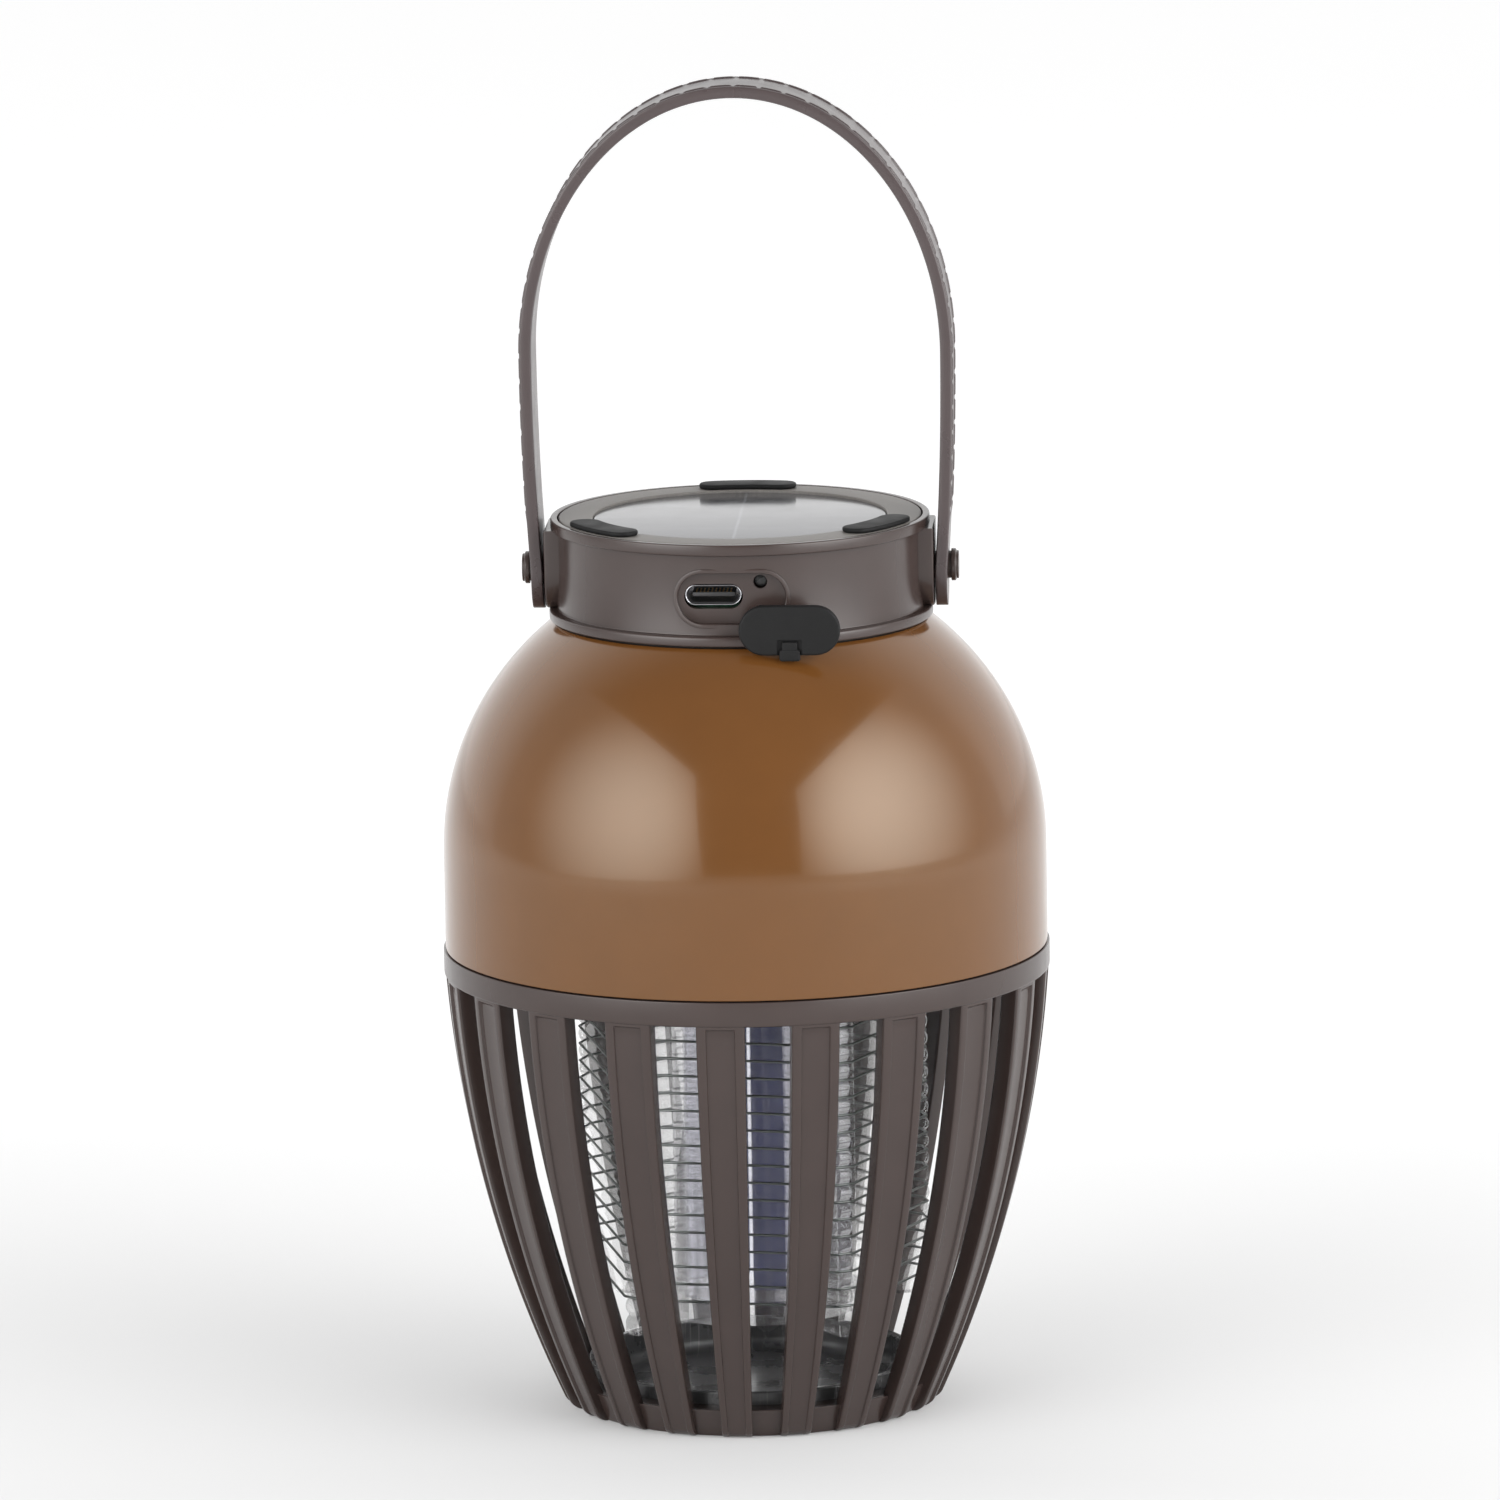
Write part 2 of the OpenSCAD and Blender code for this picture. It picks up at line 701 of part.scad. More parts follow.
// Ring that closes the collar and frames the panel.
module bezel_ring() {
  color("#7a7472") rotate_extrude() polygon([
    [20.6, panel_seat_z - 1.2], [27.2, panel_seat_z - 1.2], [27.2, bezel_seat_z],
    [bezel_r, bezel_seat_z], [bezel_r, lip_z - 0.3], [bezel_r - 0.3, lip_z],
    [panel_r + 0.3, lip_z], [panel_r + 0.1, lip_z - 0.2], [panel_r + 0.1, panel_seat_z],
    [20.6, panel_seat_z]
  ]);
}

module solar_panel() {
  color("#1c1e26") translate([0, 0, panel_seat_z]) cylinder(r = panel_r, h = panel_t);
}

module solar_leads() {
  top = panel_seat_z - 0.4;
  board_top = charge_board_z + board_t;
  color("#b02a24") for (s = [-1, 1])
    sweep([[s * 4, 2, top], [s * 5, 0, top - 2.5], [s * 6, -3, board_top + 0.5]], 0.5,
      seed = [1, 0, 0]);
}

// Kidney-shaped pad, an arc with round ends.
module foot_pad() {
  mid_r = 26.3;
  w = 5;
  half = 11.8;
  linear_extrude(0.8) union() {
    intersection() {
      difference() {
        circle(r = mid_r + w / 2);
        circle(r = mid_r - w / 2);
      }
      polygon([[0, 0], 60 * [sin(half), -cos(half)], 60 * [0, -1], 60 * [-sin(half), -cos(half)]]);
    }
    for (s = [-1, 1]) translate([mid_r * sin(s * half), -mid_r * cos(half)]) circle(d = w);
  }
}

module foot_pads() {
  color("#222324") for (a = [-54, 60, 180]) at_angle(a) translate([0, 0, lip_z]) foot_pad();
}

// Outline of the handle's outer face, from the right pivot over the top to the left one.
function leg_x(z) = strap_belly_x - pow(strap_belly_z - max(z, pivot_z), 2) / (2 * leg_arc_r);

module arch(inset) {
  rise = handle_top_z - strap_belly_z - inset;
  low = pivot_z - strap_w / 2 - inset;
  legs = [for (i = [0:8]) let (z = low + (strap_belly_z - low) * i / 8) [leg_x(z) - inset, z]];
  top = [for (i = [1:71]) let (t = 180 * i / 72)
    [(strap_belly_x - inset) * cos(t), strap_belly_z + rise * sin(t)]];
  left = [for (i = [8:-1:0]) [-legs[i].x, legs[i].y]];
  polygon(concat(legs, top, left));
}

// Strap handle: an arch with round ends and a bore at each pivot.
module handle() {
  color("#6b6260") difference() {
    intersection() {
      along_y(-strap_w / 2, strap_w / 2) difference() {
        arch(0);
        arch(strap_t);
      }
      union() {
        translate([-60, 0, pivot_z]) rotate([0, 90, 0]) cylinder(d = strap_w, h = 120);
        translate([-60, -strap_w, pivot_z]) cube([120, 2 * strap_w, 120]);
      }
    }
    for (s = [-1, 1]) translate([s * 40, 0, pivot_z]) rotate([0, -s * 90, 0])
      cylinder(r = pin_r + 0.07, h = 15);
  }
}

// Snap pin with a button head, pressed into the collar's lug.
module pivot_pin(s) {
  head_x = leg_x(pivot_z + pin_head_r) + 0.15;
  tip_x = 27.6;
  color("#544c4a") rotate([0, s * 90, 0]) translate([0, 0, tip_x]) {
    cylinder(r = pin_r, h = head_x - tip_x + 0.5);
    translate([0, 0, head_x - tip_x]) cylinder(r = pin_head_r, h = pin_head_t);
  }
}

module pivot_pin_left() {
  translate([0, 0, pivot_z]) pivot_pin(-1);
}

module pivot_pin_right() {
  translate([0, 0, pivot_z]) pivot_pin(1);
}

dome_shell();
dome_gasket();
grille_band();
grille_slats();
base_ring();
insect_tray();
deck_plate();
case_screws();
grid_former();
former_screws();
grid_wire_positive();
grid_wire_negative();
grid_terminals();
light_tube();
uv_led_boards();
uv_leds();
battery_cell();
battery_cradle();
main_pcb();
pcb_screws();
hv_transformer_core();
hv_transformer_coil();
hv_capacitors();
hv_diodes();
filter_capacitor();
control_chip();
hv_leads();
battery_leads();
charge_leads();
collar_housing();
collar_gasket();
collar_screws();
charge_board();
usb_socket();
charge_light_pipe();
power_button();
power_switch();
port_cover();
bezel_ring();
solar_panel();
solar_leads();
foot_pads();
handle();
pivot_pin_left();
pivot_pin_right();
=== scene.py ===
"""Looks of a rechargeable lantern bug zapper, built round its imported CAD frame.

Lengths in the shape code are millimetres in the CAD frame, and raw_object() makes metres of them.
Angles round the axis are degrees from the front (-Y) towards +X.
"""

import json
import math

import bmesh
import bpy
import numpy as np
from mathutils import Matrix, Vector


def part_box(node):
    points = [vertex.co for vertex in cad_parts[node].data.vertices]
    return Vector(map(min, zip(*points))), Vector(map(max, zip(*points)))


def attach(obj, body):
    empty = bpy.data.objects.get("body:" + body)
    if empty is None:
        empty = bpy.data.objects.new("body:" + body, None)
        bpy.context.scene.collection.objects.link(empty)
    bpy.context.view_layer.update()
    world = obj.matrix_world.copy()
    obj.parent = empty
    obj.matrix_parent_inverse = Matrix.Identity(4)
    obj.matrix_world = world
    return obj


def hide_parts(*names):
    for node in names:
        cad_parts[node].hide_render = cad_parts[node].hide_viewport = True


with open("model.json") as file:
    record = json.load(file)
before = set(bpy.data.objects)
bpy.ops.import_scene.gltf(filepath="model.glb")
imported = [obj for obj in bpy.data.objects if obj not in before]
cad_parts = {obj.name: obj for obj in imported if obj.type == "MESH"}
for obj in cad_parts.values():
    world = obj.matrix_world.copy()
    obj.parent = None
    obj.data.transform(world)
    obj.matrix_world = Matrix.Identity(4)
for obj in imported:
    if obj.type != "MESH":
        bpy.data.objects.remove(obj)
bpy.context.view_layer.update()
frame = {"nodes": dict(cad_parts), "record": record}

MM = 0.001
HOUSING = "housing"


def node_box(node):
    """Lowest and highest corner of a CAD node, in millimetres."""
    low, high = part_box(node)
    return np.array(low) / MM, np.array(high) / MM


# ---------------------------------------------------------------- dimensions, led by the frame

# Dome
dome_low, dome_top = node_box("dome_shell")
DOME_R = dome_top[0]
DOME_LOW_Z = dome_low[2]
DOME_TOP_Z = dome_top[2]
DOME_BELLY_Z = DOME_TOP_Z - 36.8
DOME_RISE = 47.0
DOME_WALL = 2.0
CABLE_HOLE_R = 9.0

# Grille: band, slats and base ring
_, band_high = node_box("grille_band")
BAND_R = band_high[0]
BAND_LOW_Z = 70.8
SEAM_Z = 74.8
SPIGOT_R = 46.2
SPIGOT_WALL = 1.6
SPIGOT_TOP_Z = band_high[2]
BOSS_ANGLES = (60, 180, 300)
BOSS_RING_R = 38.0
TAB_HALF = 5
TAB_H = 2

SLAT_COUNT = 20
SLAT_ANGLE = 9.2
SLAT_DEPTH = 3.0
SLAT_CHANNEL = 0.4
SLAT_LIP_SHARE = 0.6
SLAT_FOOT_R = 1.3
SLAT_BELLY_Z = 84.6
SLAT_BELLY_R = 49.0
SLAT_ARC_R = 200.6
GRILLE_TURN = -2.2
BASE_H = node_box("base_ring")[1][2]
BASE_STEP = 1.5
BASE_BORE_R = 26.75
BASE_RECESS_H = 1.1

# Insect tray
_, tray_high = node_box("insect_tray")
TRAY_FLANGE_R = tray_high[1]
TRAY_H = tray_high[2]
TRAY_R = 26.65
TRAY_WALL = 1.4
TRAY_FLANGE_H = 1.0
TRAY_NOTCH = 0.9
TRAY_NOTCH_HALF = 6.0

# Clear cage, its two wires, and the lamp inside it
RIB_COUNT = 5
RIB_R = 29.5
RIB_INNER_R = 17.0
RIB_W = 2.8
FOOT_Z = node_box("grid_former")[0][2]
FOOT_DISC_R = 18.7
FOOT_TOP_Z = FOOT_Z + 2.4
FLANGE_Z = 71.0
DECK_Z = 73.0
NOTCH_DEPTH = 0.8
TOOTH_R = 0.55
WIRE_TOP_Z = 68.3
WIRE_PITCH = 2.83
WIRE_ROWS = 18
WIRE_R = 28.96
WIRE_D = 0.42
TERMINAL_R = 1.2
TERMINAL_RING_R = 25.5
TUBE_R = node_box("light_tube")[1][0]
TUBE_WALL = 1.2
LED_BOARD_H = 60
LED_BOARD_Y = -4.9
LED_COUNT = 5
LED_LOW_Z = 24
LED_PITCH = 10.5
LED_H = 3.5
LENS_R = 1.15

# Collar, bezel, panel and pads
COLLAR_R = 29.4
COLLAR_Z = node_box("collar_housing")[0][2]
LIP_Z = node_box("collar_housing")[1][2]
FLANGE_R = 30.7
FLANGE_H = 1.6
LIP_R = 30.3
LIP_H = 1.8
COLLAR_WALL = 2.0
BEZEL_R = node_box("bezel_ring")[1][0]
BEZEL_BORE_R = 20.6
BEZEL_SKIRT_R = 27.2
BEZEL_SEAT_Z = LIP_Z - 2.2
PANEL_R = node_box("solar_panel")[1][0]
PANEL_TOP_Z = node_box("solar_panel")[1][2]
PANEL_LOW_Z = node_box("solar_panel")[0][2]
PAD_RING_R = 26.3
PAD_W = 5.0
PAD_HALF = 11.8
PAD_H = 0.8
PAD_ANGLES = (-54, 60, 180)
LUG_X = node_box("collar_housing")[1][0]
PIVOT_Z = 136.0

# Charging port, its cover, and the button at the back
PORT_W = 17.2
PORT_H = 8.3
PORT_Z = 135.7
PORT_FLOOR_Y = -27.6
PORT_BACK_Y = -25.4
PORT_BLOCK_HALF = 9.3
PORT_BLOCK_TOP_Z = 140
USB_X = -2.9
USB_Z = PORT_Z + 0.4
USB_W = 8.94
USB_H = 3.26
USB_SHELL = 0.2
USB_MOUTH_Y = PORT_FLOOR_Y - 0.1
USB_BACK_Y = PORT_FLOOR_Y + 7.2
CONTACT_COUNT = 10
CONTACT_PITCH = 0.6
LED_X = 4.5
LED_Z = PORT_Z + 2.46
LIGHT_PIPE_R = 1.05
LIGHT_PIPE_END_Y = -21.5
ROOT_X = 4.6
ROOT_Z = PORT_Z - 2.3
STALK_R = 1.0
BULB_R = 1.6
COVER_W = 16.0
COVER_H = 7.9
COVER_T = 1.6
COVER_BACK_Y = -31.0
PLUG_H = 0.5
BUTTON_Z = 136.0
BUTTON_R = 4.0
BUTTON_FACE_Y = 30.5
BUTTON_BACK_Y = 25.8

# Handle and its pins
HANDLE_TOP_Z = node_box("handle")[1][2]
STRAP_W = 13.0
STRAP_T = 2.1
STRAP_BELLY_Z = 171.0
STRAP_BELLY_X = 34.6
LEG_ARC_R = 510.0
STITCH_PITCH = 4.1
STITCH_Y = 5.1
STITCH_H = 0.22
BORDER_Y = 6.05
STRAP_FACE = -0.22
PIN_R = 2.2
PIN_HEAD_R = 2.6
PIN_HEAD_T = 1.2
PIN_TIP_X = 27.6


# ---------------------------------------------------------------- shape helpers


def polar(r, angle, z=0.0):
    """Point at a radius and an angle round the axis."""
    a = math.radians(angle)
    return (r * math.sin(a), -r * math.cos(a), z)


def slat_at(z):
    """Outer radius of the slats at a height."""
    return SLAT_BELLY_R - SLAT_ARC_R + math.sqrt(SLAT_ARC_R**2 - (SLAT_BELLY_Z - z) ** 2)


def dome_at(z, shrink=0.0):
    """Radius of the dome at a height, or of its hollow when shrunk."""
    share = max(z - DOME_BELLY_Z, 0.0) / (DOME_RISE - shrink)
    return (DOME_R - shrink) * math.sqrt(1.0 - share**2)


def corner_arms(points, i):
    """A corner of a closed outline, the unit directions to its neighbours, and the nearer one's distance."""
    here = np.array(points[i][:2], float)
    back = np.array(points[i - 1][:2], float) - here
    ahead = np.array(points[(i + 1) % len(points)][:2], float) - here
    reach = min(np.linalg.norm(back), np.linalg.norm(ahead))
    return here, back / np.linalg.norm(back), ahead / np.linalg.norm(ahead), reach


def corner_curve(here, back, ahead, cut, shares):
    """Points of a rounded corner that starts and ends a cut away from it."""
    return [tuple(here + back * cut * (1 - t) ** 2 + ahead * cut * t**2) for t in shares]


def fillet(points, radius, steps=4):
    """Closed outline with rounded corners. A point's third number, where it has one, is its own radius."""
    rounded = []
    for i, point in enumerate(points):
        here, back, ahead, reach = corner_arms(points, i)
        half = math.acos(max(-1.0, min(1.0, float(back @ ahead)))) / 2
        r = point[2] if len(point) > 2 else radius
        if r <= 0 or half > math.radians(85):
            rounded.append(tuple(here))
            continue
        cut = min(r / math.tan(half), 0.45 * reach)
        rounded += corner_curve(here, back, ahead, cut, [k / steps for k in range(steps + 1)])
    return rounded


def inset(outline, depth):
    """Outline moved inwards by a depth; the outline runs anticlockwise."""
    pts = np.array(outline, float)
    along = np.roll(pts, -1, 0) - pts
    along /= np.linalg.norm(along, axis=1)[:, None]
    normal = np.stack([-along[:, 1], along[:, 0]], 1)
    both = normal + np.roll(normal, 1, 0)
    both /= np.maximum(np.linalg.norm(both, axis=1), 1e-9)[:, None]
    miter = np.clip((both * normal).sum(1), 0.4, 1.0)
    return [tuple(p) for p in pts + both * (depth / miter)[:, None]]


def stadium(w, h, steps=14):
    """Anticlockwise outline of a round-ended bar, centred."""
    r = h / 2
    flat = (w - h) / 2
    right = [(flat + r * math.cos(t), r * math.sin(t)) for t in np.linspace(-math.pi / 2, math.pi / 2, steps)]
    return right + [(-x, -y) for x, y in right]


def circle(r, steps=40):
    """Anticlockwise outline of a circle, centred."""
    return [(r * math.cos(t), r * math.sin(t)) for t in np.linspace(0, 2 * math.pi, steps, endpoint=False)]


def loft(loops, wrap=False):
    """Skin over equal loops of points: closed on itself when wrapped, else capped at both ends."""
    n = len(loops[0])
    verts = [p for loop in loops for p in loop]
    spans = len(loops) if wrap else len(loops) - 1
    faces = []
    for k in range(spans):
        a = k * n
        b = ((k + 1) % len(loops)) * n
        faces += [(a + i, b + i, b + (i + 1) % n, a + (i + 1) % n) for i in range(n)]
    if not wrap:
        faces += [tuple(range(n)), tuple(range((spans + 1) * n - 1, spans * n - 1, -1))]
    return verts, faces


def half_disc(r, low, high):
    """Outline of a disc to be turned round the axis, with square corners on the axis."""
    return [(0, low, 0), (r, low), (r, high), (0, high, 0)]


def lathe(outline, segments=192, stretch=None):
    """Outline of (radius, height) turned round the axis. stretch(r, z, angle) may change a radius."""
    loops = []
    for k in range(segments):
        a = 360.0 * k / segments
        loops.append([polar(stretch(r, z, a) if stretch else r, a, z) for r, z in outline])
    return loft(loops, wrap=True)


def prism(outline, low, high, bevel, place, steps=3):
    """Prism from low to high with rounded rims; place(u, v, w) puts a point in space."""
    rim = [math.radians(90.0 * k / steps) for k in range(steps + 1)]
    levels = [(low + bevel * (1 - math.cos(t)), bevel * (1 - math.sin(t))) for t in rim]
    levels += [(high - (w - low), d) for w, d in reversed(levels)]
    return loft([[place(u, v, w) for u, v in inset(outline, d)] for w, d in levels])


def along_x(u, v, w):
    """Place of a point of a prism that runs along X."""
    return (w, u, v)


def along_y(u, v, w):
    """Place of a point of a prism that runs along Y."""
    return (u, w, v)


def along_z(u, v, w):
    """Place of a point of a prism that runs along Z."""
    return (u, v, w)


def tube(path, radius, sides=10):
    """Round tube that follows a path of points."""
    pts = np.array(path, float)
    loops = []
    for j in range(len(pts)):
        t = pts[min(j + 1, len(pts) - 1)] - pts[max(j - 1, 0)]
        t /= np.linalg.norm(t)
        seed = np.array([1.0, 0, 0]) if abs(t[2]) > 0.9 else np.array([0, 0, 1.0])
        side = np.cross(t, seed)
        side /= np.linalg.norm(side)
        up = np.cross(side, t)
        angles = np.linspace(0, 2 * math.pi, sides, endpoint=False)
        loops.append([tuple(pts[j] + radius * (math.cos(a) * side + math.sin(a) * up)) for a in angles])
    return loft(loops)


def shifted(shape, offset):
    """Shape moved by an offset."""
    verts, faces = shape
    return [tuple(np.add(v, offset)) for v in verts], faces


def turned(shape, angle):
    """Shape turned about the axis by an angle, front towards +X."""
    verts, faces = shape
    c, s = math.cos(math.radians(angle)), math.sin(math.radians(angle))
    return [(x * c - y * s, x * s + y * c, z) for x, y, z in verts], faces


def raw_object(name, shapes):
    """Mesh object holding every given shape, in metres, with clean outward normals."""
    verts, faces = [], []
    for shape_verts, shape_faces in shapes:
        first = len(verts)
        verts += shape_verts
        faces += [tuple(first + i for i in f) for f in shape_faces]
    mesh = bpy.data.meshes.new(name)
    mesh.from_pydata([tuple(c * MM for c in v) for v in verts], [], faces)
    work = bmesh.new()
    work.from_mesh(mesh)
    bmesh.ops.remove_doubles(work, verts=work.verts, dist=2e-7)
    bmesh.ops.dissolve_degenerate(work, edges=work.edges, dist=1e-8)
    bmesh.ops.recalc_face_normals(work, faces=work.faces)
    work.to_mesh(mesh)
    work.free()
    obj = bpy.data.objects.new(name, mesh)
    bpy.context.scene.collection.objects.link(obj)
    return obj


def carve(obj, operation, *shapes):
    """Boolean of the object with each shape in turn, applied to its mesh."""
    for shape in shapes:
        tool = raw_object("tool", [shape])
        change = obj.modifiers.new("carve", "BOOLEAN")
        change.operation = operation
        change.solver = "EXACT"
        change.object = tool
        bpy.context.view_layer.update()
        made = bpy.data.meshes.new_from_object(obj.evaluated_get(bpy.context.evaluated_depsgraph_get()))
        obj.modifiers.clear()
        obj.data = made
        bpy.data.objects.remove(tool)
    return obj


def dress(obj, slot, body, sharp=32.0):
    """Gives a piece its slot's material, smooths it up to an angle, and puts it on its body."""
    obj.data.materials.clear()
    obj.data.materials.append(material_for(slot))
    obj.data.shade_smooth()
    obj.data.set_sharp_from_angle(angle=math.radians(sharp))
    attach(obj, body)


def finish_piece(obj, nodes, body, sharp=32.0):
    """Dresses a piece like the nodes it stands for, and puts it in their place."""
    dress(obj, SLOT_OF[nodes[0]], body, sharp)
    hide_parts(*nodes)


def make(node, *shapes, body=HOUSING, sharp=32.0):
    """A detailed piece of one or more closed shapes, standing for a CAD node."""
    finish_piece(raw_object("fine_" + node, shapes), [node], body, sharp)


# ---------------------------------------------------------------- materials

SLOT_OF = {s["node"]: s["material_slot"] for s in frame["record"]["subparts"]}


def srgb(r, g, b):
    """Linear colour of an sRGB one given from 0 to 255."""
    def channel(c):
        c /= 255.0
        return c / 12.92 if c <= 0.04045 else ((c + 0.055) / 1.055) ** 2.4
    return (channel(r), channel(g), channel(b), 1.0)


class Nodes:
    """Short way to build a node material."""

    def __init__(self, name):
        self.material = bpy.data.materials.new(name)
        self.material.use_nodes = True
        self.tree = self.material.node_tree
        self.shader = self.tree.nodes["Principled BSDF"]
        self.place = self.add("ShaderNodeTexCoord").outputs["Object"]

    def add(self, kind, **inputs):
        """New node of a kind, with the inputs named given a value."""
        node = self.tree.nodes.new(kind)
        for key, value in inputs.items():
            node.inputs[key.replace("_", " ")].default_value = value
        return node

    def link(self, source, target):
        """Joins an output to an input."""
        self.tree.links.new(source, target)

    def stretched(self, scale, turn=0.0):
        """Coordinates scaled along each axis, after a turn about the axis."""
        mapping = self.add("ShaderNodeMapping")
        mapping.inputs["Scale"].default_value = scale
        mapping.inputs["Rotation"].default_value = (0, 0, math.radians(turn))
        self.link(self.place, mapping.inputs["Vector"])
        return mapping.outputs["Vector"]

    def noise(self, size_mm, detail=3.0, where=None):
        """Noise whose features are about size_mm wide."""
        node = self.add("ShaderNodeTexNoise", Scale=1.0 / (size_mm * MM), Detail=detail)
        self.link(where or self.place, node.inputs["Vector"])
        return node.outputs["Fac"]

    def ramp(self, value, low, high, out_low=0.0, out_high=1.0):
        """Value mapped from one range to another, and held at its ends."""
        node = self.add("ShaderNodeMapRange")
        node.inputs["From Min"].default_value = low
        node.inputs["From Max"].default_value = high
        node.inputs["To Min"].default_value = out_low
        node.inputs["To Max"].default_value = out_high
        self.link(value, node.inputs["Value"])
        return node.outputs["Result"]

    def blend(self, factor, first, second):
        """Mix of two colours or colour outputs."""
        node = self.tree.nodes.new("ShaderNodeMix")
        node.data_type = "RGBA"
        self.link(factor, node.inputs["Factor"])
        for index, value in ((6, first), (7, second)):
            if isinstance(value, tuple):
                node.inputs[index].default_value = value
            else:
                self.link(value, node.inputs[index])
        return node.outputs[2]

    def bump(self, height, depth_mm, strength=1.0, below=None):
        """Normal bent by a height, on top of the bumps below it."""
        node = self.add("ShaderNodeBump", Strength=strength, Distance=depth_mm * MM)
        self.link(height, node.inputs["Height"])
        if below:
            self.link(below, node.inputs["Normal"])
        return node.outputs["Normal"]

    def set(self, **inputs):
        """Gives the shader's inputs a value, or the output of another node."""
        for key, value in inputs.items():
            socket = self.shader.inputs[key.replace("_", " ")]
            if hasattr(value, "links"):
                self.link(value, socket)
            else:
                socket.default_value = value
        return self


def shade(color, share):
    """Colour made lighter or darker by a share."""
    return tuple(c * share for c in color[:3]) + (1.0,)


def moulded(name, color, roughness, mottle=0.05, grain_mm=0.35, depth_mm=0.006, **shader):
    """Moulded plastic or rubber: cloudy colour, fine grain, slightly uneven gloss."""
    n = Nodes(name)
    cloud = n.ramp(n.noise(9.0, 4.0), 0.3, 0.7)
    n.set(Base_Color=n.blend(cloud, shade(color, 1 - mottle), shade(color, 1 + mottle)))
    n.set(Roughness=n.ramp(n.noise(4.0), 0.3, 0.7, roughness * 0.88, roughness * 1.12))
    n.set(Normal=n.bump(n.noise(grain_mm, 2.0), depth_mm), **shader)
    return n.material


def clear(name, color, roughness, through, solid=1.0):
    """Clear moulding with faint flow waves; what solid leaves of 1 passes straight through, unbent."""
    n = Nodes(name)
    cloud = n.ramp(n.noise(12.0, 2.0), 0.3, 0.7)
    n.set(Base_Color=n.blend(cloud, shade(color, 0.96), color))
    n.set(Transmission_Weight=through, IOR=1.12, Coat_Weight=0.6, Coat_Roughness=0.03, Alpha=solid)
    n.set(Roughness=n.ramp(n.noise(3.0), 0.3, 0.7, roughness * 0.7, roughness * 1.3))
    n.set(Normal=n.bump(n.noise(6.0, 1.0), 0.01, 0.2))
    return n.material


def metal(name, color, roughness, streak=(30.0, 400.0, 400.0)):
    """Drawn or plated metal with fine streaks."""
    n = Nodes(name)
    streaks = n.add("ShaderNodeTexNoise", Scale=8.0, Detail=3.0)
    n.link(n.stretched(streak), streaks.inputs["Vector"])
    level = n.ramp(streaks.outputs["Fac"], 0.3, 0.7)
    n.set(Base_Color=n.blend(level, shade(color, 0.85), shade(color, 1.1)))
    n.set(Roughness=n.ramp(streaks.outputs["Fac"], 0.3, 0.7, roughness * 0.8, roughness * 1.25))
    n.set(Metallic=1.0, Normal=n.bump(streaks.outputs["Fac"], 0.003))
    return n.material


def scratched(name, color, roughness):
    """Glossy black dish with crossing hair scratches and rubbed spots."""
    n = Nodes(name)
    lines = None
    for turn, size in ((25, 1.0), (-50, 1.3), (80, 0.9)):
        hair = n.add("ShaderNodeTexNoise", Scale=size, Detail=2.0)
        n.link(n.stretched((1500.0, 45.0, 60.0), turn), hair.inputs["Vector"])
        line = n.ramp(hair.outputs["Fac"], 0.66, 0.74)
        if lines is None:
            lines = line
        else:
            add = n.add("ShaderNodeMath")
            add.operation = "MAXIMUM"
            n.link(lines, add.inputs[0])
            n.link(line, add.inputs[1])
            lines = add.outputs[0]
    rubbed = n.ramp(n.noise(7.0, 4.0), 0.45, 0.65)
    n.set(Base_Color=n.blend(lines, n.blend(rubbed, color, shade(color, 1.4)), shade(color, 2.2)))
    n.set(Roughness=n.ramp(rubbed, 0.0, 1.0, roughness, roughness + 0.1))
    dents = n.bump(n.noise(9.0, 1.0), 0.03, 0.2)
    n.set(Normal=n.bump(lines, 0.03, 0.5, dents), Coat_Weight=0.3, Coat_Roughness=0.12)
    return n.material


def panel_cells(name, color):
    """Dark solar cells behind a smooth cover, with thin pale lines between them."""
    n = Nodes(name)
    cells = n.add("ShaderNodeTexBrick", Color1=color, Color2=shade(color, 1.12), Mortar=srgb(104, 106, 112),
                  Scale=1.0, Brick_Width=23.2 * MM, Row_Height=11.5 * MM, Mortar_Size=0.22 * MM)
    cells.offset = 0.0
    n.link(n.place, cells.inputs["Vector"])
    cloud = n.ramp(n.noise(6.0, 5.0), 0.35, 0.65)
    n.set(Base_Color=cells.outputs["Color"])
    n.set(Roughness=n.ramp(cloud, 0.0, 1.0, 0.12, 0.16), IOR=1.5, Coat_Weight=0.15, Coat_Roughness=0.1)
    n.set(Normal=n.bump(n.noise(11.0, 2.0), 0.01, 0.4))
    return n.material


def sandblasted(name, color, roughness):
    """Ring with the sparkle of a coarse sandblasted mould."""
    n = Nodes(name)
    pits = n.noise(0.22, 3.0)
    n.set(Base_Color=n.blend(n.ramp(pits, 0.35, 0.65), shade(color, 0.8), shade(color, 1.15)))
    n.set(Roughness=n.ramp(pits, 0.3, 0.7, roughness * 0.85, roughness * 1.15))
    n.set(Normal=n.bump(pits, 0.05, 0.75))
    return n.material


